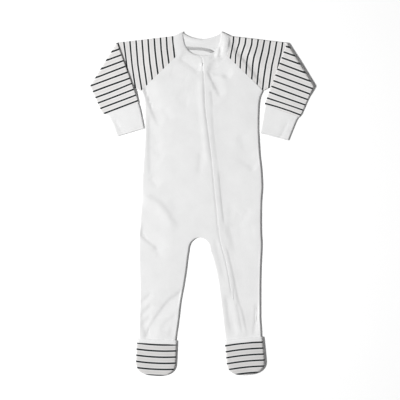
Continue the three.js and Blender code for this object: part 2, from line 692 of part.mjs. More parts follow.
const sleeveAlong = new THREE.Vector2(-Math.cos(SLEEVE.fall), -Math.sin(SLEEVE.fall));
const sleeveDown = new THREE.Vector2(Math.sin(SLEEVE.fall), -Math.cos(SLEEVE.fall));
const shoulder = new THREE.Vector2(-NECK.seam.half, NECK.seam.y);
const toSleeve = ([x, y]) => {
  const from = new THREE.Vector2(x, y).sub(shoulder);
  return { s: from.dot(sleeveAlong), w: from.dot(sleeveDown) };
};
const foldRadius = SLEEVE.axisZ - SEAM_Z; // of the middle of the flattened tube
const foldNormal = new THREE.Vector2(Math.sin(SLEEVE.foldTurn), -Math.cos(SLEEVE.foldTurn));
const pastFold = (s, w) => (s - SLEEVE.foldS) * foldNormal.x + w * foldNormal.y;
const sleeveWidth = (s, side) => read(SLEEVE_WIDTHS, "s", s, side);

// Where the sleeve starts at each w, on the front and on the back: the neck seam, then the raglan seam.
function sleeveStart(face) {
  const sign = face === "front" ? -1 : 1;
  const drops = [0, ...SHOULDER_TURN, ...SHOULDER_DROPS[face]];
  const angles = [...drops.map((drop) => angleOfDrop(face, drop)), raglanAngle(face)];
  const neck = angles.map((angle) => {
    const p = neckPoint(NECK.seam, Math.PI - sign * angle);
    return toSleeve([p.x, p.y]);
  });
  return [...neck, toSleeve([-ARMPIT.x, ARMPIT.y])];
}
const STARTS = { front: sleeveStart("front"), back: sleeveStart("back") };
// Shares of the way from the top fold to the underarm at which the front and the back have a line of points.
const sleeveShares = (face) => {
  const full = sleeveWidth(0, "left") - 2 * ROLL;
  const atNeck = STARTS[face].slice(4, -1).map(({ w }) => (w - ROLL) / full);
  const corner = atNeck[atNeck.length - 1];
  return [0, ...atNeck, ...steps(4).slice(1).map((t) => mix(corner, 1, t))];
};

function startAt(face, w) {
  const line = STARTS[face];
  let i = 1;
  while (i < line.length - 1 && line[i].w < w) i++;
  const t = clamp01((w - line[i - 1].w) / (line[i].w - line[i - 1].w));
  const { gap, atTop, topReach, atUnderarm, underarmFrom, underarmReach } = SLEEVE_START;
  const more = atTop * smooth(1 - w / topReach) + atUnderarm * smooth((w - underarmFrom) / underarmReach);
  return mix(line[i - 1].s, line[i].s, t) + gap + more;
}

// A point of the sleeve's plane, at a height in the flattened tube, once the sleeve is folded and laid down.
function sleevePoint(side, s, w, z) {
  const radius = SLEEVE.axisZ - z;
  const start = (-Math.PI / 2) * foldRadius;
  const d = pastFold(s, w);
  const angle = Math.min(Math.PI, Math.max(0, (d - start) / foldRadius));
  const beyondArc = Math.max(0, d - start - Math.PI * foldRadius);
  const bent = d <= start ? d : start + radius * Math.sin(angle) - beyondArc;
  const shift = bent - d;
  const [fs, fw] = [s + shift * foldNormal.x, w + shift * foldNormal.y];
  const fz = d <= start ? z : SLEEVE.axisZ - radius * Math.cos(angle);
  const beyond = fw - sleeveWidth(fs, side);
  const down = SLEEVE.drop * smooth(beyond / SLEEVE.dropOver) * (angle / Math.PI);
  const at = shoulder.clone().addScaledVector(sleeveAlong, fs).addScaledVector(sleeveDown, fw);
  return [at.x, at.y, fz - down];
}

// The nodes round a flattened tube, from the underarm over the front to the top and back below: how far each
// lies from an edge, or its share of the way from the top edge to the underarm, and how high.
function tubeRing(radius, frontShares, backShares) {
  const turn = [45, 90, 135].map((a) => THREE.MathUtils.degToRad(a));
  return [
    ...turn.map((a) => ({ from: "under", off: radius * (1 - Math.sin(a)), lift: -Math.cos(a) })),
    ...frontShares.slice().reverse().map((share) => ({ share, lift: 1 })),
    ...turn.map((a) => ({ from: "top", off: radius * (1 - Math.sin(a)), lift: Math.cos(a) })),
    ...backShares.map((share) => ({ share, lift: -1 })),
  ];
}

// The w of a node of the ring where the tube's edges lie at top and under.
function ringW(node, top, under, radius) {
  if (node.from === "under") return under - node.off;
  if (node.from === "top") return top + node.off;
  return mix(top + radius, under - radius, node.share);
}

function sleeve(side) {
  const ring = tubeRing(ROLL, sleeveShares("front"), sleeveShares("back"));
  const wAt = (node, s) => ringW(node, 0, sleeveWidth(s, side), ROLL);
  const solve = (node, distance) => {
    let s = SLEEVE.foldS;
    for (let i = 0; i < 6; i++) s = SLEEVE.foldS + (distance - wAt(node, s) * foldNormal.y) / foldNormal.x;
    return s;
  };
  const arc = (Math.PI / 2) * foldRadius;
  const lines = ring.map((node) => {
    const face = node.lift > 0 ? "front" : "back";
    const start = startAt(face, wAt(node, 0));
    const [foldStart, foldEnd] = [solve(node, -arc), solve(node, arc)];
    const stations = [
      ...spread(start, foldStart, SLEEVE_ROWS.upper),
      ...spread(foldStart, foldEnd, SLEEVE_ROWS.fold).slice(1),
      ...spread(foldEnd, SLEEVE_ENDS[side], SLEEVE_ROWS.fore).slice(1),
    ];
    return stations.map((s) => {
      const w = wAt(node, s);
      const edge = Math.min(w, sleeveWidth(s, side) - w);
      const folded = smooth((pastFold(s, w) + arc) / (2 * arc));
      const rise = read(SLEEVE_CROWNS, "s", s, "rise");
      const top = node.lift > 0 ? crown(edge, rise) * (1 - folded) : 0;
      const under = node.lift < 0 ? crown(edge, FOREARM_CROWN) * folded : 0;
      const level = Math.abs(node.lift) === 1 ? top - under : 0;
      return sleevePoint(side, s, w, SEAM_Z + ROLL * node.lift + level);
    });
  });
  return tube(lines, side, CLOTH);
}

function cuff(side) {
  const ring = tubeRing(CUFF.roll, steps(6), steps(6));
  const start = SLEEVE_ENDS[side] + CUFF.gap;
  const end = CUFF_ENDS[side];
  const lines = ring.map((node) => steps(4).map((t) => {
    const past = mix(0, end.s - start, t);
    const [top, under] = ["top", "under"].map((edge) => read(CUFF_EDGES[side], "past", past, edge));
    const w = ringW(node, top, under, CUFF.roll);
    const slanted = end.slant * t * (0.5 - (w - top) / (under - top));
    const rise = node.lift === -1 ? crown(Math.min(w - top, under - w), CUFF.crown) : 0;
    return sleevePoint(side, start + past + slanted, w, SEAM_Z + CUFF.roll * node.lift - rise);
  }));
  return tube(lines, side, RIB);
}

// A closed tube from lines of points along it, which are those of the left one.
function tube(lines, side, wall) {
  const mirrored = side === "right";
  const sign = mirrored ? -1 : 1;
  const closed = [...lines, lines[0]].map((line) => line.map(([x, y, z]) => [sign * x, y, z]));
  return new Sheet().grid(closed, mirrored).solid(wall);
}

// Feet

// A foot's outline from the left of its mouth round the toe to the right, in its own frame.
function footOutline(foot, startV) {
  const straight = steps(4).slice(0, -1).map((t) => mix(startV, foot.length - FOOT.toe, t));
  const side = [
    ...straight.map((v) => [foot.width / 2, v]),
    ...steps(6).map((t) => {
      const angle = (t * Math.PI) / 2;
      return [
        (foot.width / 2) * Math.cos(angle) ** (2 / FOOT.toePower),
        foot.length - FOOT.toe * (1 - Math.sin(angle) ** (2 / FOOT.toePower)),
      ];
    }),
  ];
  return [...side.map(([u, v]) => [-u, v]), ...side.slice(0, -1).reverse()];
}

function footWorld(foot, [u, v], z) {
  const turn = THREE.MathUtils.degToRad(foot.turn);
  return [
    foot.x + u * Math.cos(turn) + v * Math.sin(turn),
    foot.y + u * Math.sin(turn) - v * Math.cos(turn),
    z,
  ];
}

const footSeamZ = BACK_Z + FOOT.roll;
function footZ(line, u, v, over) {
  const d = distanceTo(line, u, v);
  const turn = (FOOT.roll - SEAM_GAP / 2) * rolled(d, FOOT.roll) + SEAM_GAP / 2;
  return footSeamZ + over * turn + (over > 0 ? FOOT.crown * (1 - Math.exp(-d / FOOT.crownReach)) : 0);
}

// The cover over a foot or the sole under it, as rays from a spine to the outline.
function footPanel(foot, startV, over) {
  const outline = footOutline(foot, startV);
  const whole = footOutline(foot, 0);
  const spineEnd = foot.length - foot.width * FOOT.spine;
  const rays = outline.map(([u, v]) => {
    const root = [0, Math.min(v, spineEnd)];
    const long = Math.hypot(u - root[0], v - root[1]);
    const shares = [...rollColumns(FOOT.roll).map((d) => d / long), 1 / 3, 2 / 3, 1];
    return shares.map((t) => {
      const [x, y] = [mix(u, root[0], t), mix(v, root[1], t)];
      return footWorld(foot, [x, y], footZ(whole, x, y, over));
    });
  });
  return new Sheet().grid(rays).solid(CLOTH, footSeamZ);
}

function footBinding(foot) {
  const whole = footOutline(foot, 0);
  const half = foot.width / 2;
  const columns = [...rollColumns(FOOT.roll), half / 4, half / 2, (3 * half) / 4].map((d) => half - d);
  const us = [...columns.map((u) => -u), 0, ...columns.slice().reverse()];
  const rows = [FOOT.binding, FOOT.binding / 2, 0].map((v) =>
    us.map((u) => footWorld(foot, [u, v], footZ(whole, u, v, 1))));
  return new Sheet().grid(rows).solid(CLOTH, footSeamZ);
}

// Zip slider: the tab that shows beside the top of the flap

function zipSlider() {
  const { x, y, halfWidth, length, corner, thickness } = SLIDER;
  const [inner, upper] = [halfWidth - corner, length - corner];
  const tab = new THREE.Shape();
  tab.moveTo(-inner, 0);
  tab.absarc(inner, corner, corner, -Math.PI / 2, 0);
  tab.absarc(inner, upper, corner, 0, Math.PI / 2);
  tab.absarc(-inner, upper, corner, Math.PI / 2, Math.PI);
  tab.absarc(-inner, corner, corner, Math.PI, 1.5 * Math.PI);
  const extrusion = { depth: thickness, bevelEnabled: false, curveSegments: 4 };
  const geometry = new THREE.ExtrudeGeometry(tab, extrusion);
  geometry.translate(x, y, frontZ(x, y) + BAND / 2 + SEAM_GAP);
  return geometry;
}

// The garment

const finish = (name, color, roughness) =>
  new THREE.MeshStandardMaterial({ name, color, roughness, metalness: 0 });
const white = finish("white_knit", 0xeeeeef, 0.95);
const ribbed = finish("white_rib", 0xf2f2f3, 0.95);
const striped = finish("striped_knit", 0xd2cfd0, 0.95);
const plastic = finish("zip_plastic", 0xf4f4f4, 0.4);

const garment = new THREE.Group();
function add(name, geometry, material) {
  const mesh = new THREE.Mesh(geometry, material);
  mesh.name = name;
  garment.add(mesh);
}

add("back", backPanel(), white);
add("front_main", frontMain(), white);
add("front_side", frontSide(), white);
add("zip_flap", zipFlap(), white);
add("zip_tape", zipTape(), white);
add("zip_slider", zipSlider(), plastic);
add("neckband", neckband(), ribbed);
for (const side of ["left", "right"]) {
  const foot = FEET[side];
  add(`sleeve_${side}`, sleeve(side), striped);
  add(`cuff_${side}`, cuff(side), ribbed);
  add(`foot_sole_${side}`, footPanel(foot, 0, -1), striped);
  add(`foot_cover_${side}`, footPanel(foot, FOOT.binding + SEAM_GAP, 1), striped);
  add(`foot_binding_${side}`, footBinding(foot), white);
}

export default garment;
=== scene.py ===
"""A footed baby sleepsuit laid flat: the cloth, stitching and zip that show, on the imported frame.

Lengths are in millimetres until a mesh is made. The curves are those of the part's own source.
"""
import math

import bmesh
import bpy
import numpy as np
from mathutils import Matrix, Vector


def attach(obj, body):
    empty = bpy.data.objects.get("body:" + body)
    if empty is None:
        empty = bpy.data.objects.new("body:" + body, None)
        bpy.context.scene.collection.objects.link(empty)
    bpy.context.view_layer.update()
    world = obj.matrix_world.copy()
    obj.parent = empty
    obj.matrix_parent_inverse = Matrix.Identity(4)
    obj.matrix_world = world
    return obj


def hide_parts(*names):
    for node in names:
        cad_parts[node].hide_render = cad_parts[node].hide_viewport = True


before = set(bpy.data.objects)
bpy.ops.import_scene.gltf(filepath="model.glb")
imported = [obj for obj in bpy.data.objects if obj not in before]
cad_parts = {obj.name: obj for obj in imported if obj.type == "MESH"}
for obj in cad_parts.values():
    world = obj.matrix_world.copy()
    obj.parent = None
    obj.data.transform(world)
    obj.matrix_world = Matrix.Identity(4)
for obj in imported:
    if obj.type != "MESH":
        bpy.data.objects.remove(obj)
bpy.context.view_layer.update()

MM = 0.001

# Cloth
CLOTH = 1.2  # wall of the knit
RIB = 1.6  # wall of the doubled rib at the cuffs
BAND = 1.4  # wall of the doubled neckband
SEAM_GAP = 0.03
ROLL = 1.3  # radius of the cloth's turn at a side edge
BACK_Z = CLOTH / 2  # middle of the layer that lies on the floor
SEAM_Z = BACK_Z + ROLL  # height of the side seams
CROWN = 1.0  # how far the front stands above its side edges
CROWN_REACH = 38
FOLD_FADE = {"side": 3.5, "ankle": 10, "ankle_y": -262}  # where creases die out
HEM_ROUND = {"free": 0.3, "sewn": 0.0}  # shares of the wall by which an edge's two corners are set in

# Neck: the seam and the free edge of the band, each a pair of half superellipses
NECK = {
    "seam": {"half": 53, "y": 310.6, "front": (65, 2.3), "back": (25, 1.8)},
    "rim": {"half": 35.3, "y": 319, "front": (43.4, 2.5), "back": (13.3, 1.6)},
}
BAND_Z = {"seam": 3.9, "rim": 3.3}  # middle of the front band's wall, before its rim rolls down
# How the band's right end lies over its left one, how it laps over the front, and how its rim rolls down
BAND_OVER = {"raise": 0.65, "level": 8, "fall": 14}
BAND_WIDTH = 19.5
BAND_LAP = {"over": 0.2, "above": 0.02}
BAND_ROLL = {"drop": 1.2, "reach": 3.6}
# At the shoulders it turns to the back over these drops of the neck line, no higher than "most" there
BAND_TURN = {"left": ROLL + 0.2, "right": 5.5, "most": 2.6}
# Behind the neck it lifts, and its rim stands up and rolls over
BACK_BAND = {"lift": 0.5, "lift_drop": 20, "rim_drop": 8}
BACK_RIM = {"rise": 1.1, "drop": 1.0, "reach": 1.8}
BAND_BUMP = {"rise": 2.4, "y": 297, "reach": 13, "from_x": 20}  # where the right side stands up
SHOULDER_DROPS = [0.2, 0.8, 1.7, 2.8]  # drops below the shoulder at which the band has its first columns
RAGLAN_X = {"front": 46.5, "back": 33.5}
ARMPIT = (112.5, 210.2)

# Heights along the garment, with the left and right edges there
SIDES = [
    (210.2, -112.5, 112.5), (195.3, -107.0, 106.4), (180.4, -105.5, 104.6), (150.7, -105.5, 103.6),
    (120.9, -105.6, 104.4), (91.1, -107.3, 106.2), (61.4, -109.4, 109.4), (31.6, -111.0, 110.8),
    (1.9, -112.2, 108.9), (-27.9, -113.8, 108.4), (-57.7, -115.7, 108.8), (-72.5, -116.4, 109.8),
    (-117.2, -115.7, 108.0), (-161.8, -114.8, 107.2), (-206.5, -115.4, 107.2), (-236.2, -116.4, 108.8),
    (-275.0, -117.0, 110.2),
]
CROTCH = {"x": -5, "apex_y": -62.9, "half_width": 20.5, "height": 24}
INSEAMS = [
    (-86.9, -25.5, 15.5), (-96.0, -27.2, 18.9), (-124.6, -30.7, 26.6), (-154.4, -35.5, 32.2),
    (-184.1, -40.9, 35.9), (-213.9, -44.3, 39.4), (-253.0, -49.8, 44.2), (-275.0, -52.0, 46.4),
]
INSEAM_BAND = 8

ZIP_LINE = [
    (277.0, -4.0), (266.0, 3.9), (238.1, 5.6), (210.2, 6.5), (182.3, 7.4), (154.4, 8.9), (107.9, 13.4),
    (70.7, 17.9), (24.2, 21.6), (-3.7, 24.7), (-42.8, 29.0), (-67.0, 31.9), (-96.7, 38.7), (-115.3, 42.9),
    (-143.2, 48.4), (-169.3, 53.0), (-191.6, 57.8), (-221.3, 64.6), (-275.0, 76.0),
]
# How far past the zip line the flap's free edge lies
FLAP_EDGE = [(290, -0.6), (228.8, -1.8), (210.2, -0.9), (191.6, -1.2), (139.5, 1.2), (98.6, 2.3), (61.4, 1.9),
             (24.2, 2.5), (-50, 2), (-124.6, 3.2), (-152.5, 2.7), (-190, 2.1)]
FLAP = {"width": 13, "wall": 1.2, "lift": 0.6, "seam_lift": 0.2, "seam_reach": 7, "turn": 0.12,
        "end": -178, "taper": 45, "tail": 4}
# The tape and the teeth start past the flap's free edge
TAPE = {"start": 3, "width": 7, "wall": 0.6, "sunk": 0.7, "top": 242, "end": -164}
TEETH = {"start": 5.2, "inset": 4, "pitch": 1.5, "lift": 0.05}
SLIDER = {"half": 1.8, "long": 5.6, "corner": 1.4, "wall": 1.2, "x": -1.3, "y": 255.6}
MAIN_UNDER_FLAP = 2.2
ZIP_GROOVE = {"before": 0.1, "reach": 1.4, "depth": 1.1, "top_depth": 1.9}
YOKE_Y = 186

# Along a sleeve s runs down the arm and w from its top edge. Past the fold it is flattened and lies lower.
SLEEVE = {"fall": math.radians(6.6), "fold_s": 105.8, "fold_turn": math.radians(51.65), "axis_z": 3.6,
          "drop": 3.8, "drop_over": 28, "flat": 0.62, "flat_from": 40, "flat_over": 35}
SLEEVE_END = {"left": 224, "right": 228.5}
SLEEVE_START = {"gap": 0.06, "at_top": 0.1, "top_reach": 8, "at_underarm": 0.5, "underarm_from": 84,
                "underarm_reach": 9}
# Distances down the arm, with the left and right sleeves' widths there
SLEEVE_WIDTHS = [(0, 92.9, 92.9), (70.6, 92.9, 92.9), (81, 87, 87), (110, 80.5, 80.5), (165, 73.2, 73.2),
                 (212, 70, 70), (219, 68.5, 69.6), (224, 64.5, 68.8), (228.5, 64.5, 67.2), (280, 64.5, 67.2)]
SLEEVE_CROWNS = [(0, CROWN), (50, CROWN), (85, 0.35), (280, 0.35)]
FOREARM_CROWN = 0.7
CUFF = {"gap": 0.08, "roll": 1.3, "crown": 0.6, "hem": 6}
CUFF_END = {"left": {"s": 270.8, "slant": 3.2}, "right": {"s": 278.4, "slant": 5.3}}
# Soft dents: near the hem's sewn line, beyond it, and one crease down the cuff
CUFF_DENTS = {
    "sewn": {"depth": 0.45, "from_hem": 3.6, "reach": 0.9},
    "hollow": {"depth": 0.5, "from_hem": 9, "reach": 5, "from_w": 20, "fade": 20},
    "crease": {"depth": 0.7, "w": 52, "slant": 0.1, "reach": 3.5, "from_start": 12, "fade": 10},
}
CUFF_EDGES = {  # distances past the cuff's start, with its top and under edges there
    "left": [(0, 1.6, 61), (8, 1.8, 59.5), (26, 4.2, 58.2), (48, 7.6, 57.9)],
    "right": [(0, 1.6, 65.6), (8, 3, 64.2), (26, 6.6, 63.4), (52, 10.8, 62.7)],
}

FEET = {
    "left": {"x": -83.9, "y": -252.6, "turn": math.radians(-2.7), "width": 72.6, "length": 66.8, "roll": 1.9},
    "right": {"x": 76.8, "y": -250.4, "turn": math.radians(5.7), "width": 69.5, "length": 67.5, "roll": 2.6},
}
# The binding is a soft roll with a sewn groove near its lower edge
BINDING = {"rise": 0.45, "power": 0.7, "seam_v": 5.9, "groove": 0.35, "reach": 0.5, "fade": 5}
FOOT = {"crown": 0.9, "crown_reach": 12, "toe": 27, "toe_power": 2.6, "binding": 7.4,
        "overlap": 12, "spine": 0.42}

# Creases of the front in plan, each along the line where it looks darkest, with its reach, its depth, and
# how many times further it reaches on its bright side.
# The light falls from the left, so a trough lies past that line and a ridge before it.
FOLDS = [
    ("armpit", [(-113, 228), (-106, 208), (-97, 182), (-88, 160), (-80, 142)], 3.0, -2.6, 5),
    ("armpit_echo", [(-76, 178), (-68, 165), (-60, 152)], 5, -0.7, 2),
    ("side_long", [(-98, 172), (-98.6, 135), (-98.6, 103), (-98, 75), (-96.7, 45)], 3.6, -1.4, 4),
    ("side_slant_high", [(-97, 109), (-86, 95), (-74, 81)], 5, -0.9, 2),
    ("side_slant_mid", [(-98, 138), (-88, 118), (-80, 106)], 5, -0.8, 2),
    ("side_slant_low", [(-98.6, 47), (-90, 37), (-82, 29)], 4.5, -0.9, 2),
    ("hip_long", [(-116, 20), (-95, 9), (-78, -1), (-66, -15), (-56, -31), (-41, -48)], 6.5, 1.8, 2),
    ("hip_hollow", [(-60, 10), (-52, -8), (-44, -22)], 7, -0.6, 2),
    ("hip_short", [(-126, -52), (-112, -60), (-100, -70), (-87, -80), (-84, -90)], 3.2, -2.8, 5),
    ("hip_curl", [(-92, -84), (-84, -92), (-83, -102)], 4, -0.6, 2),
    ("knee", [(-34, -158), (-46, -169), (-63, -182), (-82, -206), (-100, -234), (-111, -262)],
     3.2, -2.2, 4.5),
    ("ankle_out", [(-112, -214), (-107, -235), (-103, -256)], 4.5, -1.4, 2),
    ("shin", [(-46, -205), (-67, -220), (-80, -238)], 4.0, -1.0, 2),
    ("outer_a", [(-116, -186), (-104, -175), (-94, -164)], 3, -1.0, 2),
    ("outer_b", [(-118, -212), (-104, -197), (-94, -186)], 3.2, -1.3, 2),
    ("outer_c", [(-116, -231), (-104, -216), (-95, -206)], 3.2, -1.1, 2),
    ("ankle_in", [(-58, -226), (-61, -250)], 4, -0.6, 2),
    ("thigh_hollow", [(46, -36), (53, -58), (58, -78), (62, -98)], 6.5, -2.4, 3),
    ("beside_flap", [(44, -78), (49, -92), (56.7, -125), (62.3, -152), (68, -180), (75, -200), (81, -227),
                     (86, -252)], 3.2, -2.0, 5),
    ("inner_calf", [(42, -170), (46, -190), (48.4, -213), (56, -250)], 4.0, -1.4, 2),
    ("outer_calf", [(99, -184), (98, -210), (94, -248)], 3.6, -1.5, 1.5),
    ("calf_fine", [(63, -180), (69, -212), (75, -246)], 3.0, -0.6, 2),
    ("calf_mid", [(52, -200), (56, -225), (60, -250)], 3.2, -0.5, 2),
    ("waist_slant", [(34, 93), (63, 87), (86, 71), (100, 60)], 7, -2.2, 2),
    ("waist_steep", [(64, 127), (76, 104), (89, 80)], 7, -1.0, 2),
    ("ray_a", [(54, -48), (51, -20), (50, 8)], 5, -1.3, 2),
    ("ray_b", [(58, -46), (63, -30), (67, -12)], 5, -1.3, 2),
    ("ray_c", [(62, -48), (74, -28), (86, -6)], 5, -1.0, 2),
    ("ray_d", [(64, -54), (80, -48), (97, -41)], 5, -0.6, 2),
    ("chest_steep", [(9, 250), (14, 238), (20, 225), (29, 207), (33, 196)], 3.2, -2.4, 3),
    ("chest_short", [(16, 212), (18, 196), (19, 176)], 3.4, -1.0, 3),
    ("collar_side", [(9, 257), (23, 243), (37, 241), (53, 231)], 4.5, -3.0, 3),
    ("collar_main", [(-45, 271), (-30, 261), (-14, 250), (-4, 244)], 5.5, -1.8, 2.2),
    ("zip_ridge", [(0, 243), (1.5, 210), (3.5, 180), (7.5, 140), (11.5, 98), (14.5, 66)], 4.5, 0.8, 1.3),
    ("belly", [(-4, 98), (-6, 75), (-8, 52)], 4, -0.7, 2),
    ("chest_faint", [(-62, 241), (-45, 236), (-26, 226)], 7, -0.5, 2),
    ("chest_low", [(-50, 196), (-36, 188), (-24, 186)], 7, -0.4, 2),
    ("flap_side_high", [(19, 190), (20.5, 140), (25, 99), (30.7, 58)], 3.8, -0.8, 6),
    ("flap_side_low", [(30, 70), (34.4, 24), (38.1, -13), (42, -46)], 2.8, -2.0, 6),
    ("flap_main_low", [(21, -60), (28, -90), (35, -120), (43, -150)], 5, -0.8, 2),
    ("right_hollow", [(22, 250), (36, 100), (44, 30), (50, -40), (62, -110), (72, -170), (86, -290)],
     26, -1.2, 1),
    ("over_lap_a", [(21, 290), (21, 280), (19, 268)], 2.4, -1.8, 1.5),
    ("over_lap_b", [(33, 292), (33, 282), (31, 272)], 2.4, -1.8, 1.5),
    ("over_lap_c", [(30, 276), (35, 262)], 5, -0.8, 2),
    ("sleeve_right", [(50, 300), (66, 281), (83, 262), (101, 238), (115, 219)], 4.0, -4.0, 2.5),
    ("sleeve_right_top", [(58, 306), (75, 296), (95, 286)], 5, -0.6, 2),
    ("sleeve_left", [(-142, 244), (-120, 250), (-98, 252)], 5, -0.5, 2),
]
KEY = (-1300, -20, 1500)  # where the main light stands
DEEPEST = 2.2  # no crease reaches the back
DARK_OFFSET = 0.6  # how far from a crease's middle it looks darkest, as a share of its reach
CREASE_ENDS = (0.18, 0.22)  # shares of a crease's length over which it starts and dies out
CREASE_BOUNDS = 2.5  # its gentle reaches beyond which nothing of it is left

# Stripes of the sleeves: for each, its place along the arm at these distances from the top edge. The front
# ones are the upper arm's, from the neck down, and the back ones the forearm's, from the cuff up.
STRIPES = {
    "left": {
        "front": ([0, 22, 45, 68, 90], [
            (1.9, 2.2, 2.5, 2.5, 2.5), (13.2, 14.6, 14.2, 14.1, 14.1), (24.3, 25.5, 25.5, 25.1, 25.1),
            (35.9, 37.0, 37.1, 36.5, 36.5), (47.5, 48.6, 49.1, 48.4, 48.2), (58.8, 59.6, 60.4, 59.9, 59.5),
            (70.0, 70.9, 71.7, 71.0, 70.0), (81.4, 82.2, 82.6, 81.9, 81.0), (92.8, 92.5, 92.3, 92.5, 92.5),
            (103.9, 102.8, 103.2, 103.6, 103.6),
        ]),
        "back": ([0, 24, 48, 72], [
            (219.9, 220.4, 220.8, 221.2), (209.2, 209.6, 209.9, 210.2), (197.9, 198.3, 198.7, 199.1),
            (186.6, 187.7, 188.3, 188.1), (176.3, 176.3, 176.2, 176.2), (164.3, 164.5, 164.7, 164.9),
            (152.7, 153.3, 153.9, 154.2), (141.7, 142.0, 142.3, 142.5), (130.3, 130.5, 130.8, 131.0),
            (118.8, 119.2, 119.4, 119.6), (107.4, 107.7, 107.9, 108.0),
        ]),
    },
    "right": {
        "front": ([0, 11, 22, 33, 45, 68, 90], [
            (5.8, 6.3, 5.5, 4.7, 4.2, 4.2, 4.2), (17.4, 17.3, 14.9, 13.2, 14.3, 15.0, 15.0),
            (28.7, 28.6, 26.2, 23.9, 23.4, 25.1, 25.5), (40.3, 40.8, 38.7, 36.1, 35.3, 36.8, 36.8),
            (51.7, 51.3, 49.7, 47.6, 47.0, 47.9, 48.4), (63.4, 62.6, 61.5, 60.1, 58.9, 58.8, 59.2),
            (74.7, 74.2, 73.8, 72.5, 71.2, 70.4, 70.4), (86.5, 85.8, 85.1, 84.0, 82.7, 82.1, 81.7),
            (97.6, 97.2, 96.5, 95.0, 94.2, 93.6, 93.4), (109.0, 108.6, 107.8, 106.4, 105.6, 105.0, 104.8),
        ]),
        "back": ([0, 24, 48, 72], [
            (225.4, 223.6, 223.0, 223.4), (214.8, 214.2, 213.7, 213.3), (203.5, 203.3, 203.1, 202.9),
            (192.0, 192.0, 191.9, 191.9), (181.0, 181.0, 181.0, 181.0), (169.8, 170.0, 170.2, 170.2),
            (158.5, 158.6, 158.7, 158.7), (146.8, 147.2, 147.5, 147.5), (135.7, 135.6, 135.5, 135.5),
            (124.5, 124.5, 124.5, 124.5), (113.2, 113.4, 113.6, 113.6),
        ]),
    },
}
# Stripes of the feet: the first one's distance from the mouth, their pitch, and how far their ends rise
FOOT_STRIPES = {
    "left": {"first": 8.9, "pitch": 11.36, "bow": 1.6},
    "right": {"first": 9.3, "pitch": 11.1, "bow": -1.5},
}
# Of the dark stripe and the pale one between: widths and edges as shares of the pitch, and its charcoal
STRIPE_WIDTH = 0.28
STRIPE_EDGE = 0.012
PALE_STRIPE = (0.19, 0.31)
CHARCOAL = ((0.0105, 0.0125, 0.0135, 1), (0.026, 0.030, 0.031, 1))
SLEEVE_PITCH = 11.3
BACK_STRIPES_FROM = {"left": 9, "right": 10}  # the number of the first stripe of each forearm
VIEW = {"pixels": 400, "pixel": 1.86, "middle": (-3.72, 6.51), "lens": 100, "sensor": 36}


# Small helpers

def mix(a, b, t):
    return a + (b - a) * t


def smooth(t):
    t = np.clip(t, 0, 1)
    return t * t * (3 - 2 * t)


def bell(x):
    return np.exp(-(x**2))


def curve(rows, column=1):
    """A smooth curve through a table's rows that never overshoots them."""
    rows = sorted(rows)
    keys = np.array([row[0] for row in rows], float)
    values = np.array([row[column] for row in rows], float)
    spans = np.diff(keys)
    slopes = np.diff(values) / spans
    product = slopes[:-1] * slopes[1:]
    total = slopes[:-1] + slopes[1:]
    safe = np.where(product > 0, total, 1)
    inner = np.where(product > 0, 2 * product / safe, 0)
    ends = np.concatenate([slopes[:1], inner, slopes[-1:]])

    def at(x):
        x = np.asarray(x, float)
        i = np.clip(np.searchsorted(keys, x, side="right") - 1, 0, len(spans) - 1)
        t = np.clip((x - keys[i]) / spans[i], 0, 1)
        return (values[i] * (2 * t**3 - 3 * t**2 + 1) + ends[i] * spans[i] * (t**3 - 2 * t**2 + t)
                + values[i + 1] * (3 * t**2 - 2 * t**3) + ends[i + 1] * spans[i] * (t**3 - t**2))

    return at


def run_of(line):
    """How far along a line each of its points is."""
    return np.concatenate([[0], np.cumsum(np.linalg.norm(np.diff(line, axis=0), axis=1))])


def ways_of(line):
    """The unit way in which a line runs at each of its points."""
    ways = np.gradient(line, axis=0)
    return ways / np.linalg.norm(ways, axis=1)[:, None]


def normals_of(line):
    """The unit normals in plan, to the right of a line."""
    ways = ways_of(line)
    return np.stack([ways[:, 1], -ways[:, 0]], axis=1)


def distance_to(line, x, y):
    """Distance in plan from points to a polyline."""
    line = np.asarray(line, float)
    points = np.stack([np.ravel(x), np.ravel(y)], axis=1)
    least = np.full(len(points), np.inf)
    for a, b in zip(line[:-1], line[1:]):
        way = b - a
        t = np.clip((points - a) @ way / max(way @ way, 1e-9), 0, 1)
        off = points - a - t[:, None] * way
        least = np.minimum(least, np.hypot(off[:, 0], off[:, 1]))
    return least.reshape(np.shape(x))


def rolled(distance, radius):
    """The height of a rolled edge, from 0 at the edge to 1 once the cloth lies level."""
    share = np.clip(distance / radius, 0, 1)
    return np.sqrt(1 - (1 - share) ** 2)


def roll_columns(radius, count=6):
    return radius * (1 - np.cos(np.linspace(0, math.pi / 2, count)))


def rows_between(start, end, spacing):
    """Even steps from start to end, about a spacing apart."""
    return np.linspace(start, end, max(2, int(round(abs(end - start) / spacing)) + 1))


side_edge = {"left": curve(SIDES, 1), "right": curve(SIDES, 2)}
inseam = {"left": curve(INSEAMS, 1), "right": curve(INSEAMS, 2)}
zip_x = curve(ZIP_LINE)
flap_past = curve(FLAP_EDGE)
sleeve_width = {"left": curve(SLEEVE_WIDTHS, 1), "right": curve(SLEEVE_WIDTHS, 2)}
sleeve_crown = curve(SLEEVE_CROWNS)
cuff_edges = {side: (curve(rows, 1), curve(rows, 2)) for side, rows in CUFF_EDGES.items()}


# Neck

def neck_point(edge, angle):
    """A point of the neck: -90 degrees is the middle front, 90 the middle back, 0 and 180 the shoulders."""
    angle = np.asarray(angle, float)
    drop, power = (np.where(np.sin(angle) < 0, f, b) for f, b in zip(edge["front"], edge["back"]))
    c = np.cos(angle)
    x = edge["half"] * np.sign(c) * np.abs(c) ** (2 / power)
    drop = drop * np.abs(np.sin(angle)) ** (2 / power)
    return x, edge["y"] - drop, drop


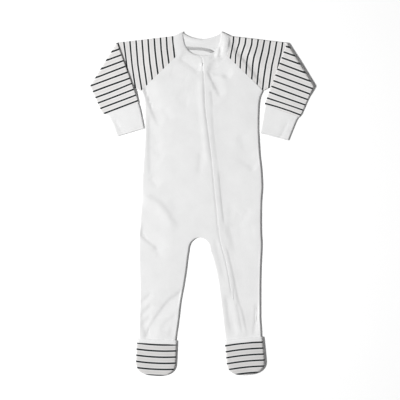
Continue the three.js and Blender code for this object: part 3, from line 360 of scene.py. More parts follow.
def neck_seam_y(x, face):
    drop, power = NECK["seam"][face]
    share = np.minimum(1, np.abs(np.asarray(x, float) / NECK["seam"]["half"]))
    return NECK["seam"]["y"] - drop * (1 - share**power) ** (1 / power)


def angle_of_drop(face, drop):
    full, power = NECK["seam"][face]
    return np.arcsin((np.asarray(drop, float) / full) ** (power / 2))


def raglan_angle(face):
    return angle_of_drop(face, NECK["seam"]["y"] - neck_seam_y(RAGLAN_X[face], face))


neck_front_y = NECK["seam"]["y"] - NECK["seam"]["front"][0]


# Outline

def inner_edge(side):
    sign = -1 if side == "left" else 1
    angle = np.linspace(0, math.pi / 2, 40)
    arch = np.stack([CROTCH["x"] + sign * CROTCH["half_width"] * np.sin(angle),
                     CROTCH["apex_y"] - CROTCH["height"] * (1 - np.cos(angle))], axis=1)
    y = np.linspace(INSEAMS[0][0], INSEAMS[-1][0], 80)[1:]
    return np.vstack([arch, np.stack([inseam[side](y), y], axis=1)])


def outer_edge(side):
    y = np.linspace(SIDES[0][0], SIDES[-1][0], 120)
    return np.stack([side_edge[side](y), y], axis=1)


def shoulder_edge(sign):
    x, y = NECK["seam"]["half"], NECK["seam"]["y"]
    return np.array([(sign * (x + 100 * t * math.cos(SLEEVE["fall"])), y - 100 * t * math.sin(SLEEVE["fall"]))
                     for t in (0, 1)])


INNER = {side: inner_edge(side) for side in ("left", "right")}
OUTER = {side: outer_edge(side) for side in ("left", "right")}
EDGES = [*OUTER.values(), *INNER.values(), shoulder_edge(-1), shoulder_edge(1)]


def edge_distance(x, y):
    return np.minimum.reduce([distance_to(line, x, y) for line in EDGES])


def beside_inner(side, shares, inset, end_y):
    """Points some shares of the way down an inner edge, set in from it."""
    line = INNER[side]
    line = np.vstack([line[line[:, 1] > end_y + 0.01], [[inseam[side](end_y), end_y]]])
    lengths = run_of(line)
    sign = 1 if side == "left" else -1
    tangents = np.vstack([[-sign, 0], line[2:] - line[:-2], line[-1] - line[-2]])
    tangents = tangents / np.hypot(tangents[:, 0], tangents[:, 1])[:, None]
    at = np.asarray(shares) * lengths[-1]
    x, y = (np.interp(at, lengths, line[:, k]) for k in (0, 1))
    tx, ty = (np.interp(at, lengths, tangents[:, k]) for k in (0, 1))
    size = np.hypot(tx, ty)
    return np.stack([x + sign * inset * ty / size, y - sign * inset * tx / size], axis=-1)


def mouth_y(side, x, past):
    """The line on which the pieces of a leg end above its foot, or inside it."""
    foot = FEET[side]
    return foot["y"] + math.tan(foot["turn"]) * (x - foot["x"]) - past


# Creases, and the heights of the two layers

def spline(points, per_span=10):
    """A smooth line through some points."""
    p = np.array(points, float)
    p = np.vstack([2 * p[0] - p[1], p, 2 * p[-1] - p[-2]])
    t = np.linspace(0, 1, per_span, endpoint=False)[:, None]
    spans = []
    for a, b, c, d in zip(p[:-3], p[1:-2], p[2:-1], p[3:]):
        spans.append(0.5 * (2 * b + (c - a) * t + (2 * a - 5 * b + 4 * c - d) * t**2
                            + (3 * b - a - 3 * c + d) * t**3))
    return np.vstack([*spans, p[-2:-1]])


def crease_lines():
    lines = []
    for name, points, reach, depth, gentle in FOLDS:
        line = spline(points)
        normals = normals_of(line)
        travel = line - KEY[:2]
        facing = (normals * travel).sum(axis=1) / np.hypot(travel[:, 0], travel[:, 1])
        middle = line - math.copysign(DARK_OFFSET * reach, depth) * normals * facing[:, None]
        lines.append((middle, normals * np.sign(facing)[:, None], reach, depth, gentle))
    return lines


CREASES = crease_lines()


def relief(x, y):
    """The creases of the front and the slight unevenness of cloth that has been worn and laid out."""
    x, y = np.asarray(x, float), np.asarray(y, float)
    height = 0.10 * np.sin(x / 17 + 1.3 * np.sin(y / 41)) * np.sin(y / 23 + 0.7)
    height += 0.06 * np.sin(x / 8.3 + y / 13.1) * np.sin(y / 9.7 - x / 21)
    points = np.stack([np.ravel(x), np.ravel(y)], axis=1)
    total = np.zeros(len(points))
    for line, normals, reach, depth, gentle in CREASES:
        bound = CREASE_BOUNDS * gentle * reach
        low, high = line.min(axis=0) - bound, line.max(axis=0) + bound
        near = np.all((points > low) & (points < high), axis=1)
        if not near.any():
            continue
        here, last = points[near], len(line) - 1
        nearest = ((here[:, None, :] - line[None, :, :]) ** 2).sum(axis=2).argmin(axis=1)
        best, past, share = np.full(len(here), np.inf), np.zeros(len(here)), np.zeros(len(here))
        for first in (np.maximum(nearest - 1, 0), np.minimum(nearest, last - 1)):
            way = line[first + 1] - line[first]
            off = here - line[first]
            t = np.clip((off * way).sum(axis=1) / (way**2).sum(axis=1), 0, 1)
            gap = off - t[:, None] * way
            squared = (gap**2).sum(axis=1)
            side = np.sign((gap * normals[first]).sum(axis=1))
            closer = squared < best
            best = np.where(closer, squared, best)
            past = np.where(closer, side * np.sqrt(squared), past)
            share = np.where(closer, (first + t) / last, share)
        taper = smooth(share / CREASE_ENDS[0]) * smooth((1 - share) / CREASE_ENDS[1])
        steep = reach * mix(gentle, 1, smooth(0.5 + math.copysign(2, depth) * past / reach))
        total[near] += depth * taper * np.exp(-best / steep**2)
    total = np.where(total < 0, -DEEPEST * (1 - np.exp(total / DEEPEST)), total)
    return height + total.reshape(x.shape)


def crown(distance, rise):
    return rise * (1 - np.exp(-distance / CROWN_REACH))


def groove(x, y):
    """The main front, and the band above it, dip before they run under the flap."""
    off = np.minimum(0, x - zip_x(y) - flap_past(y) + ZIP_GROOVE["before"])
    depth = mix(ZIP_GROOVE["depth"], ZIP_GROOVE["top_depth"], smooth((y - 258) / 6))
    return -depth * bell(off / ZIP_GROOVE["reach"]) * smooth((y - FLAP["end"]) / 20)


def front_z(x, y):
    d = edge_distance(x, y)
    fade = smooth(d / FOLD_FADE["side"]) * smooth((y - FOLD_FADE["ankle_y"]) / FOLD_FADE["ankle"])
    rise = crown(d, CROWN) + relief(x, y) * fade
    return SEAM_Z + SEAM_GAP / 2 + (ROLL - SEAM_GAP / 2) * rolled(d, ROLL) + rise


def back_z(x, y):
    return SEAM_Z - SEAM_GAP / 2 - (ROLL - SEAM_GAP / 2) * rolled(edge_distance(x, y), ROLL)


def seam_lift_share(y):
    return smooth((y - FLAP["end"]) / FLAP["taper"])


def flap_right(y):
    return zip_x(y) + mix(FLAP["tail"], FLAP["width"], seam_lift_share(y))


def side_front_z(x, y):
    past = x - flap_right(y)
    return front_z(x, y) + FLAP["seam_lift"] * seam_lift_share(y) * bell(past / FLAP["seam_reach"])


# Meshes

class Sheet:
    """Quads down the middle of a cloth's wall. They look up where columns run to +X and rows to +Y."""

    def __init__(self):
        self.points, self.cut, self.stripes, self.quads = [], [], [], []
        self.count = 0

    def grid(self, points, cut=None, stripes=None, turned=False):
        """Rows of points, with each one's place in the flat cut and its place among the stripes."""
        points = np.asarray(points, float)
        rows, columns = points.shape[:2]
        ids = self.count + np.arange(rows * columns).reshape(rows, columns)
        quads = np.stack([ids[:-1, :-1], ids[:-1, 1:], ids[1:, 1:], ids[1:, :-1]], axis=-1).reshape(-1, 4)
        cut = points[..., :2] if cut is None else np.asarray(cut, float)
        stripes = np.zeros((rows, columns)) if stripes is None else np.asarray(stripes, float)
        self.points.append(points.reshape(-1, 3))
        self.cut.append(cut.reshape(-1, 2))
        self.stripes.append(stripes.reshape(-1))
        self.quads.append(quads[:, ::-1] if turned else quads)
        self.count += rows * columns
        return self

    def shell(self, wall, level_at=None, free=None):
        """Its vertices, faces, what their corners take from the sheet, and how many faces aren't wall edges.
        Points at the height of a side seam are offset level, so that the edge stands square. free says for a
        place in the flat cut whether it is at a free edge, which is rounded."""
        points, quads = np.vstack(self.points), np.vstack(self.quads)
        keys = np.round(points / 0.02 + 0.371).astype(np.int64)
        _, kept, welded = np.unique(keys, axis=0, return_index=True, return_inverse=True)
        welded = welded.reshape(-1)
        spots, faces = points[kept], welded[quads]
        a, b, c, d = (spots[faces[:, k]] for k in range(4))
        crosses = np.cross(c - a, d - b)
        normals = np.zeros_like(spots)
        for k in range(4):
            np.add.at(normals, faces[:, k], crosses)
        if level_at is not None:
            normals[np.abs(spots[:, 2] - level_at) < SEAM_GAP, 2] = 0
        normals /= np.maximum(np.linalg.norm(normals, axis=1), 1e-9)[:, None]

        count = len(spots)
        polygons, corners, owners = [], [], {}
        for face, quad in zip(faces.tolist(), quads.tolist()):
            pairs = [(v, q) for i, (v, q) in enumerate(zip(face, quad)) if v != face[i - 1]]
            if len(pairs) < 3 or len({v for v, q in pairs}) < len(pairs):
                continue
            polygons.append([v for v, q in pairs])
            corners.append([q for v, q in pairs])
            for (v, q), (w, r) in zip(pairs, pairs[1:] + pairs[:1]):
                owners[v, w] = (q, r)
        rim = {edge: ends for edge, ends in owners.items() if (edge[1], edge[0]) not in owners}
        outward = np.zeros_like(spots)
        for v, w in rim:
            out = np.cross(spots[w] - spots[v], normals[v] + normals[w])
            outward[v] += out
            outward[w] += out
        on_rim = np.linalg.norm(outward, axis=1) > 0
        outward[on_rim] /= np.linalg.norm(outward[on_rim], axis=1)[:, None]
        rounding = np.full(count, HEM_ROUND["sewn"])
        if free is not None:
            u, v = np.vstack(self.cut)[kept].T
            rounding[free(u, v)] = HEM_ROUND["free"]
        inset = outward * (rounding * wall)[:, None]
        places = np.vstack([spots + normals * wall / 2 - inset, spots - normals * wall / 2 - inset, spots])
        tops = len(polygons)
        polygons += [[v + count for v in reversed(face)] for face in polygons[:tops]]
        corners += [list(reversed(face)) for face in corners[:tops]]
        for (v, w), (q, r) in rim.items():
            polygons.append([w, v, v + 2 * count, w + 2 * count])
            polygons.append([w + 2 * count, v + 2 * count, v + count, w + count])
            corners += [[r, q, q, r], [r, q, q, r]]
        used = np.zeros(3 * count, bool)
        for face in polygons:
            used[face] = True
        number = np.cumsum(used) - 1
        polygons = [[int(number[v]) for v in face] for face in polygons]
        return places[used], polygons, corners, 2 * tops


def flat_size(sheet):
    """The width, length and area in metres of the sheet's flat cut."""
    cut, quads = np.vstack(sheet.cut), np.vstack(sheet.quads)
    a, b, c, d = (cut[quads[:, k]] for k in range(4))
    diagonals = (c - a)[:, 0] * (d - b)[:, 1] - (c - a)[:, 1] * (d - b)[:, 0]
    width, length = np.ptp(cut, axis=0)
    return width * MM, length * MM, np.abs(diagonals).sum() / 2 * MM * MM


def linked(name, data):
    made = bpy.data.objects.new(name, data)
    bpy.context.scene.collection.objects.link(made)
    return made


def attached(name, mesh, material, replaced=()):
    piece = linked(name, mesh)
    mesh.materials.append(material)
    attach(piece, "root")
    if replaced:
        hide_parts(*replaced)
    return piece


def cloth(name, sheet, wall, material, level_at=None, least=0.0, free=None):
    """Makes a piece of cloth that replaces the node of its name. least, the least side of its flat cut for
    a strip that is folded or goes on out of sight, is not used. The wall's faces at its edges are flat and
    meet the rest at sharp edges, so that they don't bend the light near a seam."""
    places, polygons, corners, walls_from = sheet.shell(wall, level_at, free)
    mesh = bpy.data.meshes.new(name + "_cloth")
    mesh.from_pydata((places * MM).tolist(), [], polygons)
    cut, stripes = np.vstack(sheet.cut), np.concatenate(sheet.stripes)
    order = np.concatenate([np.array(face) for face in corners])
    layer = mesh.uv_layers.new(name="Cut")
    layer.data.foreach_set("uv", cut[order].astype(np.float32).ravel())
    layer = mesh.uv_layers.new(name="Stripes")
    pairs = np.stack([stripes[order], np.zeros(len(order))], axis=1)
    layer.data.foreach_set("uv", pairs.astype(np.float32).ravel())
    shown = np.ones(len(polygons), bool)
    shown[walls_from:] = False
    mesh.polygons.foreach_set("use_smooth", shown)
    edges = np.empty(len(mesh.loops), np.int32)
    mesh.loops.foreach_get("edge_index", edges)
    sharp = np.zeros(len(mesh.edges), bool)
    sharp[edges[sum(len(face) for face in polygons[:walls_from]):]] = True
    mesh.edges.foreach_set("use_edge_sharp", sharp)
    mesh.update()
    piece = attached(name + "_cloth", mesh, material, [name])
    width, length, area = flat_size(sheet)
    width, length = max(width, least), max(length, least)
    return piece


# Materials

class Graph:
    """A material's nodes, built as expressions."""

    def __init__(self, name, roughness, sheen, specular):
        self.material = bpy.data.materials.new(name)
        self.material.use_nodes = True
        self.tree = self.material.node_tree
        self.shader = self.tree.nodes["Principled BSDF"]
        self.shader.inputs["Roughness"].default_value = roughness
        self.shader.inputs["Sheen Weight"].default_value = sheen
        self.shader.inputs["Sheen Roughness"].default_value = 0.5
        self.shader.inputs["Specular IOR Level"].default_value = specular

    def node(self, kind, **settings):
        node = self.tree.nodes.new(kind)
        for key, value in settings.items():
            setattr(node, key, value)
        return node

    def put(self, socket, value):
        if isinstance(value, bpy.types.NodeSocket):
            self.tree.links.new(value, socket)
        else:
            socket.default_value = value

    def math(self, operation, *values):
        node = self.node("ShaderNodeMath", operation=operation)
        for socket, value in zip(node.inputs, values):
            self.put(socket, value)
        return node.outputs[0]

    def map(self, name):
        """The two coordinates of a UV map."""
        uv = self.node("ShaderNodeUVMap", uv_map=name)
        apart = self.node("ShaderNodeSeparateXYZ")
        self.put(apart.inputs[0], uv.outputs[0])
        return apart.outputs[0], apart.outputs[1]

    def join(self, x, y):
        together = self.node("ShaderNodeCombineXYZ")
        self.put(together.inputs[0], x)
        self.put(together.inputs[1], y)
        return together.outputs[0]

    def noise(self, vector, scale, detail=2.0, roughness=0.5):
        node = self.node("ShaderNodeTexNoise")
        self.put(node.inputs["Vector"], vector)
        node.inputs["Scale"].default_value = scale
        node.inputs["Detail"].default_value = detail
        node.inputs["Roughness"].default_value = roughness
        return node.outputs[0]

    def blend(self, share, a, b):
        node = self.node("ShaderNodeMix", data_type="RGBA")
        self.put(node.inputs[0], share)
        self.put(node.inputs[6], a)
        self.put(node.inputs[7], b)
        return node.outputs[2]

    def ramp(self, value, low, high):
        """From 0 at low to 1 at high."""
        node = self.node("ShaderNodeMapRange", interpolation_type="SMOOTHSTEP")
        self.put(node.inputs[0], value)
        node.inputs[1].default_value = low
        node.inputs[2].default_value = high
        return node.outputs[0]

    def bump(self, height, distance, strength, under=None):
        node = self.node("ShaderNodeBump")
        node.inputs["Strength"].default_value = strength
        node.inputs["Distance"].default_value = distance
        self.put(node.inputs["Height"], height)
        if under is not None:
            self.put(node.inputs["Normal"], under)
        return node.outputs[0]

    def finish(self, colour, normal):
        self.put(self.shader.inputs["Base Color"], colour)
        self.put(self.shader.inputs["Normal"], normal)
        return self.material


def grey(value, warmth=0.0):
    return (value * (1 + warmth), value, value * (1 - 0.6 * warmth), 1)


def stitch_height(g, u, v, wale, course):
    """The loops of a knit: columns of V-shaped stitches, wale apart, with courses along them."""
    column = g.math("DIVIDE", u, wale)
    beside = g.math("PINGPONG", column, 0.5)
    slant = g.math("ADD", g.math("DIVIDE", v, course), g.math("MULTIPLY", beside, 1.1))
    loops = g.math("PINGPONG", slant, 0.5)
    ridge = g.math("SINE", g.math("MULTIPLY", beside, 2 * math.pi))
    return g.math("MULTIPLY", g.math("ADD", ridge, 0.25), g.math("ADD", loops, 0.35))


def knit_material(name, light, wale=0.95, course=0.75, rib=None, striped=False, depth=0.00012):
    """A cotton knit. rib is the pitch of its ribs, along v."""
    g = Graph(name, roughness=0.92, sheen=0.25, specular=0.25)
    u, v = g.map("Cut")
    place = g.join(u, v)
    cloud = g.noise(place, 0.035, 3.0)
    fuzz = g.noise(place, 1.4, 3.0, 0.65)
    nap = g.noise(place, 0.32, 2.0, 0.6)
    tone = g.math("ADD", g.math("MULTIPLY", cloud, 0.55), g.math("MULTIPLY", fuzz, 0.45))
    tone = g.ramp(tone, 0.25, 0.75)
    colour = g.blend(tone, grey(light * 0.955), grey(light * 1.03))
    if striped:
        phase, _ = g.map("Stripes")
        frayed = g.math("ADD", phase, g.math("MULTIPLY", g.math("SUBTRACT", fuzz, 0.5), 0.018))
        off = g.math("PINGPONG", g.math("ADD", frayed, 0.5), 0.5)
        apart = g.math("SUBTRACT", 0.5, off)
        middle = g.ramp(apart, *PALE_STRIPE)
        warm = g.blend(tone, grey(light * 0.80, 0.022), grey(light * 0.87, 0.018))
        colour = g.blend(middle, colour, warm)
        dark = g.blend(g.ramp(fuzz, 0.3, 0.7), *CHARCOAL)
        half = STRIPE_WIDTH / 2
        inside = g.math("SUBTRACT", 1.0, g.ramp(apart, half - STRIPE_EDGE, half + STRIPE_EDGE))
        colour = g.blend(inside, colour, dark)
    height = stitch_height(g, u, v, wale, course)
    normal = g.bump(g.math("ADD", height, g.math("MULTIPLY", fuzz, 0.5)), depth, 0.6)
    normal = g.bump(nap, 0.0005, 0.22, normal)
    if rib:
        ribs = g.math("SINE", g.math("MULTIPLY", u, 2 * math.pi / rib))
        normal = g.bump(ribs, 0.00022, 0.55, normal)
    return g.finish(colour, normal)


def tape_material():
    g = Graph("woven_tape", roughness=0.75, sheen=0.15, specular=0.3)
    u, v = g.map("Cut")
    over = g.math("SINE", g.math("MULTIPLY", u, 2 * math.pi / 0.7))
    under = g.math("SINE", g.math("MULTIPLY", v, 2 * math.pi / 0.5))
    weave = g.math("MULTIPLY", over, under)
    tone = g.noise(g.join(u, v), 0.5, 2.0)
    return g.finish(g.blend(tone, grey(0.72), grey(0.80)), g.bump(weave, 0.00012, 0.6))


def solid_material(name, low, high, roughness, specular, scale, distance):
    """Plastic or thread, which takes its grain from where it lies."""
    g = Graph(name, roughness=roughness, sheen=0.0, specular=specular)
    place = g.node("ShaderNodeTexCoord").outputs["Object"]
    grain = g.noise(place, scale, 3.0, 0.6)
    return g.finish(g.blend(grain, low, high), g.bump(grain, distance, 0.5))


white_knit = knit_material("white_interlock", 0.735)
white_flap = knit_material("white_facing", 0.75, wale=0.85, course=0.8)
white_rib = knit_material("white_rib_knit", 0.785, rib=1.9, wale=0.95)
white_band = knit_material("white_band_knit", 0.765, rib=1.7, wale=0.85)
binding_knit = knit_material("white_binding_knit", 0.755, wale=0.8, course=0.7)
striped_knit = knit_material("striped_interlock", 0.795, striped=True)
# A darker copy of the striped knit for the feet: its darker ground is painted shade.
foot_knit_painted_shade = knit_material("striped_interlock_feet_painted_shade", 0.69, striped=True)
tape_cloth = tape_material()
thread = solid_material("white_thread", grey(0.70), grey(0.76), 0.6, 0.4, 2600, 0.00008)
# The overlock's thread: a real seam, whose grey is painted shade along the seam inside the back of the neck.
overlock_thread_painted_shade = solid_material("overlock_thread_painted_shade", grey(0.50), grey(0.60), 0.6, 0.4, 2600, 0.00008)
satin_plastic = solid_material("satin_plastic", grey(0.80), grey(0.86), 0.33, 0.5, 700, 0.00002)


# Camera, made first so that the cloth can be judged in its view

def look_down():
    """Straight down on the garment, with a long lens."""
    data = bpy.data.cameras.new("camera")
    data.lens, data.sensor_width = VIEW["lens"], VIEW["sensor"]
    camera = linked("camera", data)
    span = VIEW["pixels"] * VIEW["pixel"]
    camera.location = Vector((*VIEW["middle"], span * data.lens / data.sensor_width)) * MM
    bpy.context.scene.camera = camera


look_down()


# Body panels

LEG_SPACING = 2.3
leg_shares = np.linspace(0, 1, 92)
leg_shares = leg_shares * (0.3 + 0.7 * leg_shares)  # closer together at the crotch
fork_y = CROTCH["apex_y"] + INSEAM_BAND
FORK = {"share": 0.75, "blend": 60}
STRIP_COLUMNS = np.concatenate([roll_columns(ROLL), np.linspace(ROLL, INSEAM_BAND, 5)[1:]])


def across(a, b, columns, edge):
    """Shares of the way from a to b, with the columns of a rolled edge first where there is one."""
    if not edge:
        return np.linspace(0, 1, columns + 1)
    start = roll_columns(ROLL) / abs(b - a)
    return np.concatenate([start, np.linspace(start[-1], 1, columns + 1)[1:]])


def between(p, q, shares):
    p, q, shares = np.asarray(p, float), np.asarray(q, float), np.asarray(shares)[:, None]
    return p + (q - p) * shares


def lifted(height, rows):
    plan = np.asarray(rows, float)
    return np.concatenate([plan, height(plan[..., 0], plan[..., 1])[..., None]], axis=-1)


def inseam_strip(sheet, side, height, end_y):
    rows = np.stack([beside_inner(side, leg_shares, d, end_y) for d in STRIP_COLUMNS], axis=1)
    sheet.grid(lifted(height, rows), turned=side == "right")


def leg_rows(side, outer_at, end_outer, end_inner, columns, edge):
    inner = beside_inner(side, leg_shares, INSEAM_BAND, end_inner)
    rows = []
    for share, (ix, iy) in zip(leg_shares, inner):
        y = mix(fork_y, end_outer, share)
        x = float(outer_at(y))
        rows.append(between((x, y), (ix, iy), across(x, ix, columns, edge)))
    return rows


def ends_of(side, past):
    return (mouth_y(side, SIDES[-2][1 if side == "left" else 2], past),
            mouth_y(side, INSEAMS[-2][1 if side == "left" else 2], past))


def yoke_top(sign, face, stop_x, count, neck_count):
    """Points up one side of the yoke: along the raglan seam, then along the neck seam as far as stop_x."""
    corner = (sign * RAGLAN_X[face], float(neck_seam_y(RAGLAN_X[face], face)))
    armpit = (sign * ARMPIT[0], ARMPIT[1])
    long = math.hypot(corner[0] - armpit[0], corner[1] - armpit[1])
    neck_x = np.linspace(corner[0], stop_x, neck_count + 1)[1:]
    neck = np.stack([neck_x, neck_seam_y(neck_x, face)], axis=1)
    return np.vstack([between(armpit, corner, across(0, long, count, True)), neck])


def yoke_rows(low, high, sides, count=46):
    rows = []
    for t in np.linspace(0, 1, count):
        row = mix(low, high, t)
        for side in sides:
            last = len(row) - 1
            end = 0 if side == "left" else last
            shift = side_edge[side](row[end, 1]) - row[end, 0]
            row[:, 0] += shift * (1 - np.abs(np.arange(len(row)) - end) / last) ** 2
        rows.append(row)
    return rows


def main_front_z(x, y):
    return front_z(x, y) + groove(x, y)


def main_edge(y):
    return zip_x(y) + mix(flap_past(y) + MAIN_UNDER_FLAP, FLAP["tail"], smooth((TAPE["end"] - 2 - y) / 16))


def front_main():
    sheet = Sheet()
    outer_columns, inner_columns = 40, 14
    outer, inner = ends_of("left", FOOT["overlap"])
    right_inner = ends_of("right", FOOT["overlap"])[1]

    def row_at(y):
        a, c = float(side_edge["left"](y)), float(main_edge(y))
        fork = mix(CROTCH["x"], mix(a, c, FORK["share"]), smooth((y - fork_y) / FORK["blend"]))
        left = between((a, y), (fork, y), across(a, fork, outer_columns, True))
        return np.vstack([left, between((fork, y), (c, y), across(fork, c, inner_columns, False))[1:]])

    trunk = [row_at(y) for y in rows_between(fork_y, YOKE_Y, LEG_SPACING)]
    sheet.grid(lifted(main_front_z, trunk))
    low = row_at(YOKE_Y)
    neck_count = 22
    stop = float(main_edge(neck_front_y))
    high = yoke_top(-1, "front", stop, outer_columns + inner_columns - neck_count, neck_count)
    sheet.grid(lifted(main_front_z, yoke_rows(low, high, ["left"])))
    inseam_strip(sheet, "left", main_front_z, inner)
    left_leg = leg_rows("left", side_edge["left"], outer, inner, outer_columns, True)
    sheet.grid(lifted(main_front_z, left_leg), turned=True)
    inseam_strip(sheet, "right", main_front_z, right_inner)
    end = float(mouth_y("right", main_edge(FOLD_FADE["ankle_y"]), FOOT["overlap"]))
    sheet.grid(lifted(main_front_z, leg_rows("right", main_edge, end, right_inner, inner_columns, False)))
    return sheet


def front_side():
    sheet = Sheet()
    columns = 40
    end = ends_of("right", FOOT["overlap"])[0]

    def left_edge(y):
        return flap_right(y) + SEAM_GAP

    def row_at(y):
        a, b = float(left_edge(y)), float(side_edge["right"](y))
        shares = (1 - across(b, a, columns, True))[::-1]
        settle = smooth((end + 40 - y) / 40)
        lower = y + settle * (mouth_y("right", mix(a, b, shares), FOOT["overlap"]) - end)
        return np.stack([mix(left_edge(lower), side_edge["right"](lower), shares), lower], axis=1)

    rows = [row_at(y) for y in rows_between(end, YOKE_Y, LEG_SPACING)]
    neck_count = 16
    top = yoke_top(1, "front", float(left_edge(neck_front_y)), columns - neck_count, neck_count)[::-1]
    rows += yoke_rows(row_at(YOKE_Y), top, ["right"])[1:]
    sheet.grid(lifted(side_front_z, rows))
    return sheet


def back_panel():
    sheet = Sheet()
    columns = 26

    def row_at(y):
        a, c = float(side_edge["left"](y)), float(side_edge["right"](y))
        fork = mix(CROTCH["x"], 0, smooth((y - fork_y) / FORK["blend"]))
        right = (1 - across(c, fork, columns, True))[::-1]
        left = between((a, y), (fork, y), across(a, fork, columns, True))
        return np.vstack([left, between((fork, y), (c, y), right)[1:]])

    sheet.grid(lifted(back_z, [row_at(y) for y in rows_between(fork_y, YOKE_Y, 2 * LEG_SPACING)]))
    tops = [yoke_top(sign, "back", 0, columns - 10, 10) for sign in (-1, 1)]
    high = np.vstack([tops[0], tops[1][::-1][1:]])
    sheet.grid(lifted(back_z, yoke_rows(row_at(YOKE_Y), high, ["left", "right"], 36)))
    for side in ("left", "right"):
        outer, inner = ends_of(side, -SEAM_GAP)
        inseam_strip(sheet, side, back_z, inner)
        rows = leg_rows(side, side_edge[side], outer, inner, columns, True)
        sheet.grid(lifted(back_z, rows), turned=side == "left")
    return sheet


cloth("back", back_panel(), CLOTH, white_knit, level_at=SEAM_Z)
cloth("front_main", front_main(), CLOTH, white_knit, level_at=SEAM_Z)
cloth("front_side", front_side(), CLOTH, white_knit, level_at=SEAM_Z)


# Zip: its tape, the flap over it, its teeth and its slider

def zip_strip(top_at, end, columns, height):
    """A strip along the zip from its top down to a level. columns gives each point's place across it."""
    top = float(top_at(0))
    levels = np.concatenate([rows_between(end, YOKE_Y, LEG_SPACING)[:-1],
                             rows_between(YOKE_Y, top, LEG_SPACING)])
    rows, cut = [], []
    for y in levels:
        x = columns(y)
        bent = y + smooth((y - YOKE_Y) / (top - YOKE_Y)) ** 4 * (top_at(x) - top)
        rows.append(np.stack([x, bent, height(x, bent)], axis=1))
        cut.append(np.stack([x - zip_x(y), bent], axis=1))
    return Sheet().grid(rows, cut)


def flap_z(x, y):
    share = np.clip((x - zip_x(y)) / FLAP["width"], 0, 1)
    drop = smooth((share - FLAP["turn"]) / (1 - FLAP["turn"])) * (FLAP["lift"] - FLAP["seam_lift"])
    return front_z(x, y) + FLAP["lift"] - drop


def tape_z(x, y):
    return front_z(x, y) - TAPE["sunk"]


flap_shares = np.linspace(0, 1, 13)
flap = zip_strip(lambda x: neck_seam_y(x, "front"), FLAP["end"],
                 lambda y: mix(zip_x(y) + flap_past(y), flap_right(y), flap_shares), flap_z)
cloth("zip_flap", flap, FLAP["wall"], white_flap,
      free=lambda u, v: (u < flap_past(v) + 0.5) | (v < FLAP["end"] + 1))
tape_shares = np.linspace(0, 1, 6)


def tape_columns(y):
    start = zip_x(y) + flap_past(y) + TAPE["start"]
    return mix(start, np.minimum(start + TAPE["width"], flap_right(y) - SEAM_GAP), tape_shares)


tape = zip_strip(lambda x: TAPE["top"] + 0 * x, TAPE["end"], tape_columns, tape_z)
cloth("zip_tape", tape, TAPE["wall"], tape_cloth, least=0.014)


def repeated(name, template, faces, places, frames, material):
    """One mesh of many copies of a small form. frames are each copy's three axes, as rows."""
    template, places = np.asarray(template, float), np.asarray(places, float)
    copies = places[:, None, :] + np.einsum("tk,nkc->ntc", template, np.asarray(frames, float))
    polygons = [[v + len(template) * i for v in face] for i in range(len(places)) for face in faces]
    mesh = bpy.data.meshes.new(name)
    mesh.from_pydata((copies.reshape(-1, 3) * MM).tolist(), [], polygons)
    mesh.polygons.foreach_set("use_smooth", np.ones(len(polygons), bool))
    mesh.update()
    return attached(name, mesh, material)


def tube_form(centres, radii, sides):
    """A closed tube along +X, from its centres and its radii."""
    angle = np.linspace(0, 2 * math.pi, sides, endpoint=False)
    rings = [np.stack([np.full(sides, x), r * np.cos(angle), z + r * np.sin(angle)], axis=1)
             for (x, z), r in zip(centres, radii)]
    faces = []
    for ring in range(len(rings) - 1):
        for k in range(sides):
            a, b = ring * sides + k, ring * sides + (k + 1) % sides
            faces.append([a, a + sides, b + sides, b])
    faces.append(list(range(sides)))
    faces.append(list(reversed(range((len(rings) - 1) * sides, len(rings) * sides))))
    return np.vstack(rings), faces


def frames_along(line, surface):
    """For points along a line: the way it runs, the way across it, and up."""
    ways = ways_of(line)
    up = surface - (surface * ways).sum(axis=1)[:, None] * ways
    up /= np.linalg.norm(up, axis=1)[:, None]
    return np.stack([ways, np.cross(up, ways), up], axis=1)


OVERLOCK_LINE = [(-33, 290), (-24, 288.7), (-10, 288), (0, 287.2), (8, 285.9), (14, 283.8), (20, 280.6),
                 (26, 277)]
OVERLOCK = {"pitch": 0.7, "width": 6.4, "radius": 0.3, "lift": 0.55, "slant": 0.12}
STITCH = {"pitch": 2.8, "length": 2.1, "radius": 0.17, "sink": 0.13}


def thread_form(long, radius, shoulder_at, heights):
    """A short length of thread that thins at its ends. heights are at an end, a shoulder and the middle."""
    places = [(-1, heights[0]), (-shoulder_at, heights[1]), (0, heights[2]), (shoulder_at, heights[1]),
              (1, heights[0])]
    centres = [(share * long / 2, z) for share, z in places]
    return tube_form(centres, [0.5 * radius] + [radius] * 3 + [0.5 * radius], 6)


def stitched(name, plan, height, lift):
    """A row of machine stitches along a line in plan, lying in the cloth's face."""
    plan = np.asarray(plan, float)
    lengths = run_of(plan)
    at = np.arange(STITCH["pitch"], lengths[-1] - STITCH["pitch"] / 2, STITCH["pitch"])
    x, y = (np.interp(at, lengths, plan[:, k]) for k in (0, 1))
    line = np.stack([x, y, height(x, y) + lift - STITCH["sink"]], axis=1)
    step = 0.5
    slope = [(height(x + dx, y + dy) - height(x - dx, y - dy)) / (2 * step)
             for dx, dy in ((step, 0), (0, step))]
    surface = np.stack([-slope[0], -slope[1], np.ones_like(x)], axis=1)
    form, faces = thread_form(STITCH["length"], STITCH["radius"], 0.7, (-0.16, 0.02, 0.1))
    return repeated(name, form, faces, line, frames_along(line, surface), thread)


